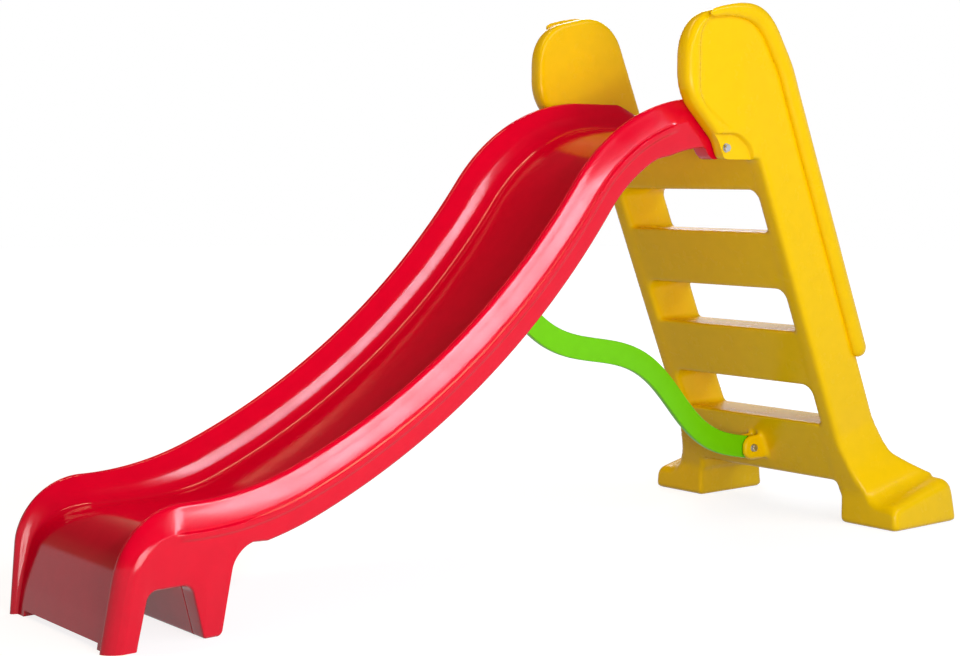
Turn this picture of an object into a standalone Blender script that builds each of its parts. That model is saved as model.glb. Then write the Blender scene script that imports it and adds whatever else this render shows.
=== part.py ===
"""Folding slide for small children: one-piece chute, one-piece ladder and a curved strut.

Metres, +Z up. X runs along the slide from its foot (-X) to the ladder (+X), Y across it,
and the object stands on the plane z = 0 with its origin at the middle of its footprint.
"""

import math

import bmesh
import bpy
from mathutils import Vector

# Running clearances between pieces
TOUCH_GAP = 0.0003
CHEEK_GAP = 0.0008
PIN_CLEARANCE = 0.0003
HOOK_CLEARANCE = 0.0006

# Chute: side profile of the rim crown
EXIT_RIM_HEIGHT = 0.216
PLATFORM_RIM_HEIGHT = 0.863
FRONT_DRAFT = math.radians(8.0)
FRONT_BEND_RADIUS = 0.120
EXIT_FLAT = 0.012
RUNOUT_RADIUS = 0.535
RUNOUT_ANGLE = math.radians(21.4)
STEEPEST_ANGLE = math.radians(52.3)
STEEP_RUN = 0.006
CREST_RADIUS = 0.405
PLATFORM_RUN = 0.106
TAIL_RUN = 0.104
TAIL_DROP = 0.044

# Chute: cross-section
CHUTE_HALF_WIDTH = 0.1945
CROWN_HALF_SPACING = 0.170
BED_HALF_WIDTH = 0.116
FRONT_RECESS = 0.010
EXIT_DEPTH = 0.047
SLOPE_DEPTH = 0.066
PLATFORM_DEPTH = 0.055
BED_THICKNESS = 0.029
SKIRT_DEPTH = 0.087
PLATFORM_SKIRT = 0.094
BEAM_WIDTH = 0.040
SHOULDER_DEPTH = 0.041
RIB_HEIGHT = 0.0125
RIB_PROUD = 0.0035
SKIRT_ROUND = 0.005

# Chute: foot with the open arch under the exit
FRONT_LEG = 0.052
ARCH_SPAN = 0.114
ARCH_HEIGHT = 0.091
ARCH_ROUND = 0.020
REAR_LEG = 0.031
REAR_LEG_FLARE = 0.026
LEG_TOE_ROUND = 0.005
LEG_DRAFT = 0.014
LEG_DRAFT_HEIGHT = 0.130
FRONT_RELIEF_HEIGHT = 0.010
FRONT_RELIEF_HALF_WIDTH = 0.128

# Pivot between chute and ladder
PIVOT_BELOW_RIM = 0.094
PIVOT_BEHIND_CREST = 0.021
CHUTE_EAR_RADIUS = 0.022
# Curved end of the outer wall, as (x, z) from the pivot
WALL_END = ((-0.111, 0.134), (-0.106, 0.084), (-0.095, 0.060), (-0.069, 0.040),
            (-0.039, 0.013), (-0.024, -0.019), (-0.018, -0.040))

# Ladder
LADDER_LEAN = math.radians(23.4)
PIVOT_AHEAD = 0.0785
RAIL_DEPTH = 0.132
RAIL_WIDTH = 0.038
RAIL_ROUND = 0.007
LOBE_LENGTH = 0.1180
LOBE_ABOVE_RIM = 0.1765
LOBE_FRONT_ROUND = 0.105
LOBE_REAR_ROUND = 0.088
LADDER_EAR_RADIUS = 0.022
EAR_CORNER_ROUND = 0.012
EAR_TOE_AHEAD = 0.004
EAR_NECK_AHEAD = 0.020
EAR_NECK_RISE = 0.014
EAR_NECK_ROUND = 0.030
LOBE_SHOULDER_RISE = 0.099
LOBE_SHOULDER_ROUND = 0.090
POCKET_RECESS = 0.011
POCKET_ABOVE = 0.026
POCKET_BEHIND = 0.060
POCKET_ROUND = 0.026
POCKET_FLARE = 0.007
BEAD_WIDTH = 0.038
BEAD_PROUD = 0.015
BEAD_OVERHANG = 0.0235
BEAD_TOP_PROUD = 0.0015
BEAD_END_HEIGHT = 0.330
TOP_TREAD_BELOW_FLOOR = BED_THICKNESS + TOUCH_GAP
LOW_TREAD = 0.211
MIDDLE_TREAD = 0.405
HIGH_TREAD = 0.606
LOW_OPENING = 0.081
MIDDLE_OPENING = 0.086
HIGH_OPENING = 0.083
OPENING_ROUND = 0.013
LOWEST_RUNG_BOTTOM = 0.087
RUNG_SETBACK = 0.001

# Ladder feet
FOOT_LENGTH = 0.205
FOOT_TOE = 0.029
FOOT_FLARE = 0.112
FOOT_FRONT_HEIGHT = 0.048
FOOT_REAR_HEIGHT = 0.095
FLARE_START_FRONT = 0.222
FLARE_START_REAR = 0.330
FLARE_POWER = 3.0
FLARE_EDGE_STEP = 0.002
HEEL_HEIGHT = 0.145
HEEL_DRAFT = 0.014
HEEL_ROUND = 0.050
# Rounding of the foot's outer edge, as (distance from the edge, drop, draw-in of front and rear)
FOOT_EDGE = ((0.022, 0.0, 0.0), (0.011, 0.004, 0.0), (0.003, 0.012, 0.002), (0.0, 0.022, 0.005))
PANEL_BOTTOM = 0.100
FOOT_INNER_STEP = 0.011
FOOT_STEP_HEIGHT = 0.082

# Strut, its two clevises and its bolts
STRUT_DEPTH = 0.047
STRUT_THICKNESS = 0.012
STRUT_EDGE_ROUND = 0.0025
STRUT_WAVE = 0.0275
STRUT_HALF_WAVES = 3
CLEVIS_GAP = 0.0005
CLEVIS_EAR = 0.012
LADDER_CLEVIS_RADIUS = 0.0265
LADDER_CLEVIS_HEIGHT = 0.141
LADDER_CLEVIS_REACH = 0.037
CHUTE_CLEVIS_RADIUS = 0.022
CHUTE_CLEVIS_BELOW_BED = 0.038
CHUTE_CLEVIS_BEHIND_PIVOT = 0.350
CLEVIS_BASE = 0.084
FOLD_RATIO = 1.55

# M8 fasteners
BOLT_DIAMETER = 0.008
HEX_WIDTH = 0.013
HEX_CHAMFER = 0.0006
HEAD_HEIGHT = 0.0053
NUT_HEIGHT = 0.0065
WASHER_DIAMETER = 0.0172
WASHER_THICKNESS = 0.0016
THREAD_END = 0.003

# How far cutters run past what they cut
OVERRUN = 0.020

# Facets
ARC_STEP = math.radians(6.0)
SLOPE_STEP = 0.060
PIN_SIDES = 24

# Sizes that follow from those above
PIVOT_HEIGHT = PLATFORM_RIM_HEIGHT - PIVOT_BELOW_RIM
LOBE_TOP = PLATFORM_RIM_HEIGHT + LOBE_ABOVE_RIM
OPENINGS = ((LOW_TREAD, LOW_OPENING), (MIDDLE_TREAD, MIDDLE_OPENING), (HIGH_TREAD, HIGH_OPENING))
RAIL_IN = CHUTE_HALF_WIDTH - 0.0045
TONGUE_HALF = RAIL_IN - CHEEK_GAP
RAIL_OUT = RAIL_IN + RAIL_WIDTH
FOOT_OUT = RAIL_OUT + FOOT_FLARE
EAR_IN = STRUT_THICKNESS / 2 + CLEVIS_GAP
EAR_OUT = EAR_IN + CLEVIS_EAR
BORE_RADIUS = BOLT_DIAMETER / 2 + PIN_CLEARANCE
LEAN = math.tan(LADDER_LEAN)
TOP_TREAD = PLATFORM_RIM_HEIGHT - PLATFORM_DEPTH - TOP_TREAD_BELOW_FLOOR


def heading_vector(angle):
    """Unit vector along the path, in XZ."""
    return math.cos(angle), math.sin(angle)


class RimPath:
    """Rim crown from the ground in front of the exit up to the tail, as arcs and straights."""

    def __init__(self):
        climb = PLATFORM_RIM_HEIGHT - EXIT_RIM_HEIGHT
        runout_rise = RUNOUT_RADIUS * (1 - math.cos(RUNOUT_ANGLE))
        crest_rise = CREST_RADIUS * (1 - math.cos(STEEPEST_ANGLE))
        sweep_rise = climb - runout_rise - crest_rise - STEEP_RUN * math.sin(STEEPEST_ANGLE)
        sweep_radius = sweep_rise / (math.cos(RUNOUT_ANGLE) - math.cos(STEEPEST_ANGLE))
        front_angle = math.pi / 2 - FRONT_DRAFT
        bend_drop = FRONT_BEND_RADIUS * (1 - math.cos(front_angle))
        front_run = (EXIT_RIM_HEIGHT - bend_drop) / math.sin(front_angle)
        # Each piece: length, start angle, end angle
        self.pieces = [
            (front_run, front_angle, front_angle),
            (FRONT_BEND_RADIUS * front_angle, front_angle, 0.0),
            (EXIT_FLAT, 0.0, 0.0),
            (RUNOUT_RADIUS * RUNOUT_ANGLE, 0.0, RUNOUT_ANGLE),
            (sweep_radius * (STEEPEST_ANGLE - RUNOUT_ANGLE), RUNOUT_ANGLE, STEEPEST_ANGLE),
            (STEEP_RUN, STEEPEST_ANGLE, STEEPEST_ANGLE),
            (CREST_RADIUS * STEEPEST_ANGLE, STEEPEST_ANGLE, 0.0),
            (PLATFORM_RUN + TAIL_RUN, 0.0, 0.0),
        ]
        self.starts = []
        self.marks = [0.0]
        x, z = 0.0, 0.0
        for length, first, last in self.pieces:
            self.starts.append((x, z))
            x, z = self.advance(x, z, length, first, last, length)
            self.marks.append(self.marks[-1] + length)
        self.crest_end = self.starts[-1][0]
        self.end = (x, z)

    @staticmethod
    def advance(x, z, length, first, last, travelled):
        """Place reached after a distance along one arc or straight."""
        if abs(last - first) < 1e-9:
            dx, dz = heading_vector(first)
            return x + dx * travelled, z + dz * travelled
        radius = length / (last - first)
        angle = first + travelled / radius
        return (x + radius * (math.sin(angle) - math.sin(first)),
                z - radius * (math.cos(angle) - math.cos(first)))

    def at(self, distance):
        """Position x, z and heading at a distance from the ground point."""
        distance = min(max(distance, 0.0), self.marks[-1])
        for index, (length, first, last) in enumerate(self.pieces):
            travelled = distance - self.marks[index]
            if travelled <= length + 1e-9:
                x, z = self.starts[index]
                x, z = self.advance(x, z, length, first, last, travelled)
                share = travelled / length
                return x, z, first + (last - first) * share
        x, z = self.end
        return x, z, 0.0

    def distance_at_x(self, x):
        """Distance along the path where it reaches x."""
        low, high = 0.0, self.marks[-1]
        for _ in range(50):
            middle = (low + high) / 2
            if self.at(middle)[0] < x:
                low = middle
            else:
                high = middle
        return (low + high) / 2


PATH = RimPath()
# Distances along X, counted from the foot of the front wall
PIVOT_RUN = PATH.crest_end + PIVOT_BEHIND_CREST
FACE_RUN = PIVOT_RUN + PIVOT_AHEAD + PIVOT_HEIGHT * LEAN
FOOT_FRONT_RUN = FACE_RUN - FOOT_TOE
TOTAL_LENGTH = FOOT_FRONT_RUN + FOOT_LENGTH
EXIT_X = -TOTAL_LENGTH / 2
PIVOT = (EXIT_X + PIVOT_RUN, PIVOT_HEIGHT)
FOOT_FRONT_X = EXIT_X + FOOT_FRONT_RUN
FOOT_REAR_X = EXIT_X + TOTAL_LENGTH


def face_x(z):
    """Front plane of the ladder at height z."""
    return EXIT_X + FACE_RUN - z * LEAN


def rear_x(z):
    """Rear plane of the ladder at height z."""
    return face_x(z) + RAIL_DEPTH


LADDER_CLEVIS = (face_x(LADDER_CLEVIS_HEIGHT) - LADDER_CLEVIS_REACH, LADDER_CLEVIS_HEIGHT)


def chute_clevis():
    """Pin centre under the bed, and the bed's heading above it."""
    below = SLOPE_DEPTH + BED_THICKNESS + CHUTE_CLEVIS_BELOW_BED
    wanted = PIVOT_RUN - CHUTE_CLEVIS_BEHIND_PIVOT
    run = wanted
    for _ in range(20):
        x, z, heading = PATH.at(PATH.distance_at_x(run))
        run += wanted - (x + below * math.sin(heading))
    return EXIT_X + x + below * math.sin(heading), z - below * math.cos(heading), heading


def clear_scene():
    for item in list(bpy.data.objects):
        bpy.data.objects.remove(item, do_unlink=True)


def make_material(name, colour, roughness, metallic=0.0):
    material = bpy.data.materials.new(name)
    material.use_nodes = True
    shader = material.node_tree.nodes["Principled BSDF"]
    shader.inputs["Base Color"].default_value = (*colour, 1.0)
    shader.inputs["Roughness"].default_value = roughness
    shader.inputs["Metallic"].default_value = metallic
    material.diffuse_color = (*colour, 1.0)
    return material


def add_object(name, bm, material, sharp=math.radians(32.0)):
    """Mesh object from a bmesh, with outward faces and smooth round surfaces."""
    bmesh.ops.recalc_face_normals(bm, faces=bm.faces)
    mesh = bpy.data.meshes.new(name)
    bm.to_mesh(mesh)
    bm.free()
    mesh.shade_smooth()
    mesh.set_sharp_from_angle(angle=sharp)
    if material:
        mesh.materials.append(material)
    item = bpy.data.objects.new(name, mesh)
    bpy.context.scene.collection.objects.link(item)
    return item


def hide_tool(item):
    item.hide_render = True
    item.display_type = "WIRE"
    return item


def boolean(item, tool, operation):
    modifier = item.modifiers.new(tool.name, "BOOLEAN")
    modifier.operation = operation
    modifier.solver = "EXACT"
    modifier.object = tool
    hide_tool(tool)


def rounded_outline(corners, step=ARC_STEP * 2):
    """Points of a polygon whose corners (x, z, radius) are turned into arcs."""
    points = []
    count = len(corners)
    for index, (x, z, radius) in enumerate(corners):
        here = Vector((x, z))
        before = Vector(corners[index - 1][:2])
        after = Vector(corners[(index + 1) % count][:2])
        if radius <= 0:
            points.append((x, z))
            continue
        to_before = (before - here).normalized()
        to_after = (after - here).normalized()
        half = to_before.angle(to_after) / 2
        cut = radius / math.tan(half)
        cut = min(cut, (before - here).length * 0.49, (after - here).length * 0.49)
        bow = cut * math.tan(half)
        centre = here + (to_before + to_after).normalized() * (bow / math.sin(half))
        first = here + to_before * cut - centre
        last = here + to_after * cut - centre
        turn = first.angle_signed(last)
        steps = max(2, round(abs(turn) / step))
        start = math.atan2(first.y, first.x)
        for number in range(steps + 1):
            angle = start - turn * number / steps
            points.append((centre.x + bow * math.cos(angle), centre.y + bow * math.sin(angle)))
    return points


def extrude_outline(bm, outline, y_from, y_to):
    """Prism across Y from a closed XZ outline."""
    first = [bm.verts.new((x, y_from, z)) for x, z in outline]
    last = [bm.verts.new((x, y_to, z)) for x, z in outline]
    bm.faces.new(first)
    bm.faces.new(list(reversed(last)))
    for index in range(len(outline)):
        other = (index + 1) % len(outline)
        bm.faces.new((first[index], first[other], last[other], last[index]))


def add_prism(name, outline, y_from, y_to, material=None):
    bm = bmesh.new()
    extrude_outline(bm, outline, y_from, y_to)
    return add_object(name, bm, material)


def add_bevel(item, width, segments=2, angle=math.radians(40.0)):
    modifier = item.modifiers.new("edge_round", "BEVEL")
    modifier.width = width
    modifier.segments = segments
    modifier.limit_method = "ANGLE"
    modifier.angle_limit = angle


def add_pin(name, centre, y_from, y_to, radius, material=None, sides=PIN_SIDES):
    """Round prism along Y."""
    outline = []
    for number in range(sides):
        angle = 2 * math.pi * number / sides
        outline.append((centre[0] + radius * math.cos(angle), centre[1] + radius * math.sin(angle)))
    return add_prism(name, outline, y_from, y_to, material)


def blend(low, high, share):
    share = min(max(share, 0.0), 1.0)
    share = share * share * (3 - 2 * share)
    return low + (high - low) * share


def bed_depth(distance):
    """Depth of the bed under the rim crown, square to the path."""
    marks = PATH.marks
    if distance < marks[2]:
        return blend(FRONT_RECESS, EXIT_DEPTH, distance / marks[2])
    if distance < marks[4]:
        return blend(EXIT_DEPTH, SLOPE_DEPTH, (distance - marks[3]) / (marks[4] - marks[3]))
    return blend(SLOPE_DEPTH, PLATFORM_DEPTH, (distance - marks[6]) / (marks[7] - marks[6]))


def skirt_depth(distance):
    """Depth of the lower edge of the side under the rim crown."""
    marks = PATH.marks
    late = (marks[6] + 2 * marks[7]) / 3
    start = (marks[6] + marks[7]) / 2
    return blend(SKIRT_DEPTH, PLATFORM_SKIRT, (distance - start) / (late - start))


def foot_outline():
    """Lower edge of the side from the front leg to the skirt, as (x, z) from the front wall."""
    leg_in = FRONT_LEG
    arch_end = leg_in + ARCH_SPAN
    toe = arch_end - REAR_LEG_FLARE
    heel = arch_end + REAR_LEG
    join = heel + REAR_LEG_FLARE
    x, z, heading = PATH.at(PATH.distance_at_x(join))
    join_z = z - SKIRT_DEPTH * math.cos(heading)
    further_x, further_z, further_heading = PATH.at(PATH.distance_at_x(join + SKIRT_DEPTH))
    corners = [
        (leg_in, 0.0, 0.0),
        (leg_in + REAR_LEG_FLARE / 2, ARCH_HEIGHT, ARCH_ROUND),
        (toe, ARCH_HEIGHT, ARCH_ROUND),
        (arch_end, 0.0, LEG_TOE_ROUND),
        (heel, 0.0, LEG_TOE_ROUND),
        (join - REAR_LEG_FLARE / 3, join_z, ARCH_ROUND),
        (further_x, further_z - SKIRT_DEPTH * math.cos(further_heading), 0.0),
    ]
    points = rounded_outline(corners)
    return points[:-1]


def chute_stations():
    """Crown point, normal, lower edge and bed underside of each cross-section."""
    stations = []
    lower = foot_outline()
    arch_middle = FRONT_LEG + ARCH_SPAN / 2
    run_in = PATH.distance_at_x(arch_middle)
    lengths = [0.0]
    for first, last in zip(lower, lower[1:]):
        lengths.append(lengths[-1] + math.dist(first, last))
    middle_length = next(l for l, p in zip(lengths, lower) if p[0] > arch_middle)
    for (x, z), length in zip(lower, lengths):
        if x < arch_middle:
            distance = run_in * length / middle_length
        else:
            distance = PATH.distance_at_x(x)
        stations.append([distance, (x, z)])
    distance = stations[-1][0]
    marks = PATH.marks
    steps = []
    tail = marks[8] - TAIL_RUN
    for first, last, step in ((distance, marks[6], SLOPE_STEP), (marks[6], marks[7], SLOPE_STEP / 2),
                              (marks[7], tail, SLOPE_STEP / 9), (tail, marks[8], SLOPE_STEP)):
        count = max(1, math.ceil((last - first) / step))
        steps += [first + (last - first) * number / count for number in range(1, count + 1)]
    stations += [[value, None] for value in steps]
    return stations


def side_points(depth, shoulder_scale, rib):
    """Half of the upper surface, from the bed's middle outwards, as (y, depth under crown)."""
    wall = CROWN_HALF_SPACING - BED_HALF_WIDTH
    out = CHUTE_HALF_WIDTH - CROWN_HALF_SPACING
    shoulder = SHOULDER_DEPTH * shoulder_scale
    rib_height = RIB_HEIGHT * shoulder_scale
    return [
        (BED_HALF_WIDTH, depth),
        (BED_HALF_WIDTH + wall * 0.22, depth * 0.94),
        (BED_HALF_WIDTH + wall * 0.38, depth * 0.74),
        (BED_HALF_WIDTH + wall * 0.48, depth * 0.48),
        (BED_HALF_WIDTH + wall * 0.66, depth * 0.20),
        (BED_HALF_WIDTH + wall * 0.84, depth * 0.04),
        (CROWN_HALF_SPACING, 0.0),
        (CROWN_HALF_SPACING + out * 0.32, shoulder * 0.07),
        (CROWN_HALF_SPACING + out * 0.60, shoulder * 0.32),
        (CROWN_HALF_SPACING + out * 0.84, shoulder),
        (CHUTE_HALF_WIDTH + RIB_PROUD * rib, shoulder + rib_height * 0.3),
        (CHUTE_HALF_WIDTH + RIB_PROUD * rib, shoulder + rib_height * 0.7),
        (CHUTE_HALF_WIDTH, shoulder + rib_height),
    ]


def ear_edge(reach):
    """Height of the side's lower edge near the pivot, at a distance ahead of it."""
    tread = TOP_TREAD + TOUCH_GAP
    if abs(reach) >= CHUTE_EAR_RADIUS:
        return tread
    return min(tread, PIVOT_HEIGHT - math.sqrt(CHUTE_EAR_RADIUS ** 2 - reach ** 2))


def taper(y, z):
    """Side pulled inwards near the ground, where the legs are drafted."""
    if abs(y) < BED_HALF_WIDTH:
        return y
    share = min(1.0, (abs(y) - BED_HALF_WIDTH) / (CROWN_HALF_SPACING - BED_HALF_WIDTH))
    pull = LEG_DRAFT * max(0.0, 1 - z / LEG_DRAFT_HEIGHT) * share
    return math.copysign(abs(y) - pull, y)


def chute_section(distance, lower):
    """Closed cross-section loop at one station."""
    x, z, heading = PATH.at(distance)
    marks = PATH.marks
    if distance <= 0.0:
        heading = math.pi / 2
    normal = (-math.sin(heading), math.cos(heading))
    near_tail = max(0.0, (x - PATH.end[0] + TAIL_RUN) / TAIL_RUN)
    drop = TAIL_DROP * near_tail
    z -= drop
    depth = bed_depth(distance) - drop
    scale = blend(0.40, 1.0, distance / marks[3])
    scale *= 1 - near_tail * TAIL_DROP / (PLATFORM_DEPTH + BED_THICKNESS)
    rib = blend(0.0, 1.0, (distance - marks[2]) / (marks[3] - marks[2] + EXIT_FLAT))
    upper = side_points(depth, scale, rib)
    if lower is None:
        skirt = skirt_depth(distance)
        lower = (x - normal[0] * skirt, z - normal[1] * skirt)
        reach = x - PIVOT_RUN
        if reach > -2 * CHUTE_EAR_RADIUS:
            lower = (x, min(ear_edge(reach), z - skirt) if reach < 0 else ear_edge(reach))
    bed = depth + BED_THICKNESS
    under = (x - normal[0] * bed, z - normal[1] * bed)
    if under[1] < lower[1] or distance < PATH.distance_at_x(FRONT_LEG + ARCH_SPAN + REAR_LEG):
        under = lower
    half = [(y, x - normal[0] * d, z - normal[1] * d) for y, d in upper]
    wall_x, wall_z = half[-1][1:]
    gap = math.dist((wall_x, wall_z), lower)
    share = max(0.2, 1 - SKIRT_ROUND / gap) if gap > 0 else 1.0
    near_edge = (wall_x + (lower[0] - wall_x) * share, wall_z + (lower[1] - wall_z) * share)
    half.append((CHUTE_HALF_WIDTH, *near_edge))
    half.append((CHUTE_HALF_WIDTH - SKIRT_ROUND, *lower))
    half.append((CHUTE_HALF_WIDTH - BEAM_WIDTH, *lower))
    half.append((CHUTE_HALF_WIDTH - BEAM_WIDTH, *under))
    middle_top = (0.0, x - normal[0] * depth, z - normal[1] * depth)
    middle_under = (0.0, *under)
    right = [middle_top] + half + [middle_under]
    left = [(-y, px, pz) for y, px, pz in reversed(half)]
    return [Vector((EXIT_X + px, taper(y, pz), max(pz, 0.0))) for y, px, pz in right + left]


def build_chute(material):
    """One moulded body: bed, rims, side skirts and the arched foot, with its clevis and bores."""
    bm = bmesh.new()
    rings = []
    for distance, lower in chute_stations():
        rings.append([bm.verts.new(point) for point in chute_section(distance, lower)])
    for first, last in zip(rings, rings[1:]):
        for index in range(len(first)):
            other = (index + 1) % len(first)
            bm.faces.new((first[index], first[other], last[other], last[index]))
    bm.faces.new(rings[0])
    bm.faces.new(list(reversed(rings[-1])))
    bmesh.ops.remove_doubles(bm, verts=bm.verts, dist=1e-6)
    bmesh.ops.dissolve_degenerate(bm, edges=bm.edges, dist=1e-6)
    chute = add_object("chute", bm, material)
    wide = FRONT_RELIEF_HALF_WIDTH
    relief_end = EXIT_X + FRONT_LEG + OVERRUN / 2
    relief = [(EXIT_X - OVERRUN, -OVERRUN), (relief_end, -OVERRUN),
              (relief_end, FRONT_RELIEF_HEIGHT), (EXIT_X - OVERRUN, FRONT_RELIEF_HEIGHT)]
    boolean(chute, add_prism("front_relief", relief, -wide, wide), "DIFFERENCE")
    for side in (-1, 1):
        boolean(chute, wall_end_tool(side), "DIFFERENCE")
        boolean(chute, chute_clevis_ear(side), "UNION")
        inner = side * (CHUTE_HALF_WIDTH - BEAM_WIDTH - OVERRUN)
        outer = side * (CHUTE_HALF_WIDTH + OVERRUN)
        boolean(chute, add_pin(f"pivot_bore_{side}", PIVOT, inner, outer, BORE_RADIUS), "DIFFERENCE")
    reach = STRUT_THICKNESS + CLEVIS_EAR
    bore = add_pin("clevis_bore", chute_clevis()[:2], -reach, reach, BORE_RADIUS)
    boolean(chute, bore, "DIFFERENCE")
    return chute


def wall_end_tool(side):
    """Cutter that ends the outer wall ahead of the ladder's cheek and leaves the tongue."""
    tail_x = EXIT_X + PATH.end[0] + OVERRUN
    outline = [(PIVOT[0] + x, PIVOT[1] + z) for x, z in WALL_END]
    outline += [(tail_x, outline[-1][1]), (tail_x, outline[0][1])]
    outer = side * (CHUTE_HALF_WIDTH + OVERRUN)
    return add_prism(f"wall_end_{side}", outline, side * TONGUE_HALF, outer)


def chute_clevis_ear(side):
    """Ear under the bed that carries the strut's upper bolt."""
    x, z, heading = chute_clevis()
    along = Vector((math.cos(heading), math.sin(heading)))
    up = Vector((-math.sin(heading), math.cos(heading)))
    centre = Vector((x, z))
    height = CHUTE_CLEVIS_BELOW_BED + BED_THICKNESS / 2
    radius = CHUTE_CLEVIS_RADIUS
    corners = []
    for across, rise, rounding in ((-radius, -radius, radius * 0.98), (radius, -radius, radius * 0.98),
                                   (CLEVIS_BASE / 2, height, 0.0), (-CLEVIS_BASE / 2, height, 0.0)):
        point = centre + along * across + up * rise
        corners.append((point.x, point.y, rounding))
    return add_prism(f"chute_ear_{side}", rounded_outline(corners), side * EAR_IN, side * EAR_OUT)


def panel_outline():
    """Side panel seen from the side: foot, rail, pivot ear and round lobe."""
    ear = LADDER_EAR_RADIUS
    underside = PIVOT_HEIGHT - ear
    lobe_x = face_x(LOBE_TOP - LOBE_FRONT_ROUND) - LOBE_LENGTH
    rear_top = rear_x(LOBE_TOP)
    return [
        (face_x(PANEL_BOTTOM), PANEL_BOTTOM, 0.0),
        (face_x(underside), underside, EAR_CORNER_ROUND),
        (PIVOT[0] - EAR_TOE_AHEAD, underside, EAR_CORNER_ROUND),
        (PIVOT[0] - EAR_NECK_AHEAD, PIVOT_HEIGHT + EAR_NECK_RISE, EAR_NECK_ROUND),
        (lobe_x, PIVOT_HEIGHT + LOBE_SHOULDER_RISE, LOBE_SHOULDER_ROUND),
        (lobe_x, LOBE_TOP, LOBE_FRONT_ROUND),
        (rear_top, LOBE_TOP, LOBE_REAR_ROUND),
        (rear_x(HEEL_HEIGHT), HEEL_HEIGHT, HEEL_ROUND),
        (heel_x(PANEL_BOTTOM), PANEL_BOTTOM, 0.0),
    ]


def pocket_outline():
    """Recess round the pivot bolt, open at its front and below."""
    high = PIVOT_HEIGHT + POCKET_ABOVE
    low = PIVOT_HEIGHT - LADDER_EAR_RADIUS
    front = PIVOT[0] - POCKET_BEHIND
    rear = PIVOT[0] + POCKET_BEHIND
    return rounded_outline([
        (front, high, 0.0),
        (rear, high, POCKET_ROUND),
        (rear + POCKET_FLARE, low, EAR_CORNER_ROUND),
        (rear + 2 * POCKET_FLARE, low - OVERRUN, 0.0),
        (front, low - OVERRUN, 0.0),
    ])


def build_panel(side):
    """Rail with its lobe and ear, rounded along its edges, recessed and bored for the pivot bolt."""
    bm = bmesh.new()
    extrude_outline(bm, rounded_outline(panel_outline()), side * RAIL_IN, side * RAIL_OUT)
    panel = add_object(f"panel_{side}", bm, None)
    add_bevel(panel, RAIL_ROUND)
    outer = side * (RAIL_OUT + OVERRUN)
    tool = add_prism(f"pocket_{side}", pocket_outline(), side * (RAIL_OUT - POCKET_RECESS), outer)
    boolean(panel, tool, "DIFFERENCE")
    tool = add_pin(f"ladder_bore_{side}", PIVOT, side * (RAIL_IN - OVERRUN), outer, BORE_RADIUS)
    boolean(panel, tool, "DIFFERENCE")
    return panel


def heel_x(z):
    """Rear edge of rail and foot at height z."""
    low, high = FOOT_REAR_HEIGHT, HEEL_HEIGHT
    if z >= high:
        return rear_x(z)
    shoulder = FOOT_REAR_X - HEEL_DRAFT
    if z >= low:
        return shoulder + (rear_x(high) - shoulder) * (z - low) / (high - low)
    return FOOT_REAR_X + (shoulder - FOOT_REAR_X) * z / low


def foot_section(share):
    """Foot outline at a share of the flare, from the rail's outer face to the foot's edge."""
    fade = (1 - share) ** FLARE_POWER
    front = FOOT_FRONT_HEIGHT + (FLARE_START_FRONT - FOOT_FRONT_HEIGHT) * fade
    rear = FOOT_REAR_HEIGHT + (FLARE_START_REAR - FOOT_REAR_HEIGHT) * fade
    toe = FOOT_FRONT_X - TOUCH_GAP
    step = FLARE_EDGE_STEP
    knee = min(FOOT_TOE / LEAN, front - step)
    outline = [(toe, 0.0), (toe, knee), (min(toe, face_x(front) - TOUCH_GAP), front)]
    middle = (HEEL_HEIGHT + FOOT_REAR_HEIGHT) / 2
    heights = [rear, min(rear - step, HEEL_HEIGHT), min(rear - 2 * step, middle),
               min(rear - 3 * step, FOOT_REAR_HEIGHT), 0.0]
    return outline + [(heel_x(z) + TOUCH_GAP, z) for z in heights]


def build_foot(side):
    """Foot that sweeps outwards from the rail to a wide flat sole."""
    bm = bmesh.new()
    inner = RAIL_OUT - RAIL_ROUND
    edge = FOOT_OUT - FOOT_EDGE[0][0]
    middle = (FOOT_FRONT_X + FOOT_REAR_X) / 2
    places = [(RAIL_IN + TOUCH_GAP, 0.0, 0.0, 0.0)]
    shares = (0, 0.06, 0.14, 0.25, 0.38, 0.55, 0.75)
    places += [(inner + (edge - inner) * share, share, 0.0, 0.0) for share in shares]
    places += [(FOOT_OUT - inset, 1.0, drop, draw) for inset, drop, draw in FOOT_EDGE]
    rings = []
    for y, share, drop, draw in places:
        outline = [(x - math.copysign(draw, x - middle), max(0.0, z - drop))
                   for x, z in foot_section(share)]
        rings.append([bm.verts.new((x, side * y, z)) for x, z in outline])
    for first, last in zip(rings, rings[1:]):
        for index in range(len(first)):
            other = (index + 1) % len(first)
            bm.faces.new((first[index], first[other], last[other], last[index]))
    bm.faces.new(rings[0])
    bm.faces.new(list(reversed(rings[-1])))
    foot = add_object(f"foot_{side}", bm, None)
    rounding = FOOT_INNER_STEP * 0.8
    shape = opening_outline(RAIL_IN + FOOT_INNER_STEP, -OVERRUN, FOOT_STEP_HEIGHT, rounding)
    tool = add_opening(f"foot_step_{side}", shape, FOOT_FRONT_X - OVERRUN, FOOT_REAR_X + OVERRUN)
    boolean(foot, tool, "DIFFERENCE")
    return foot


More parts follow.
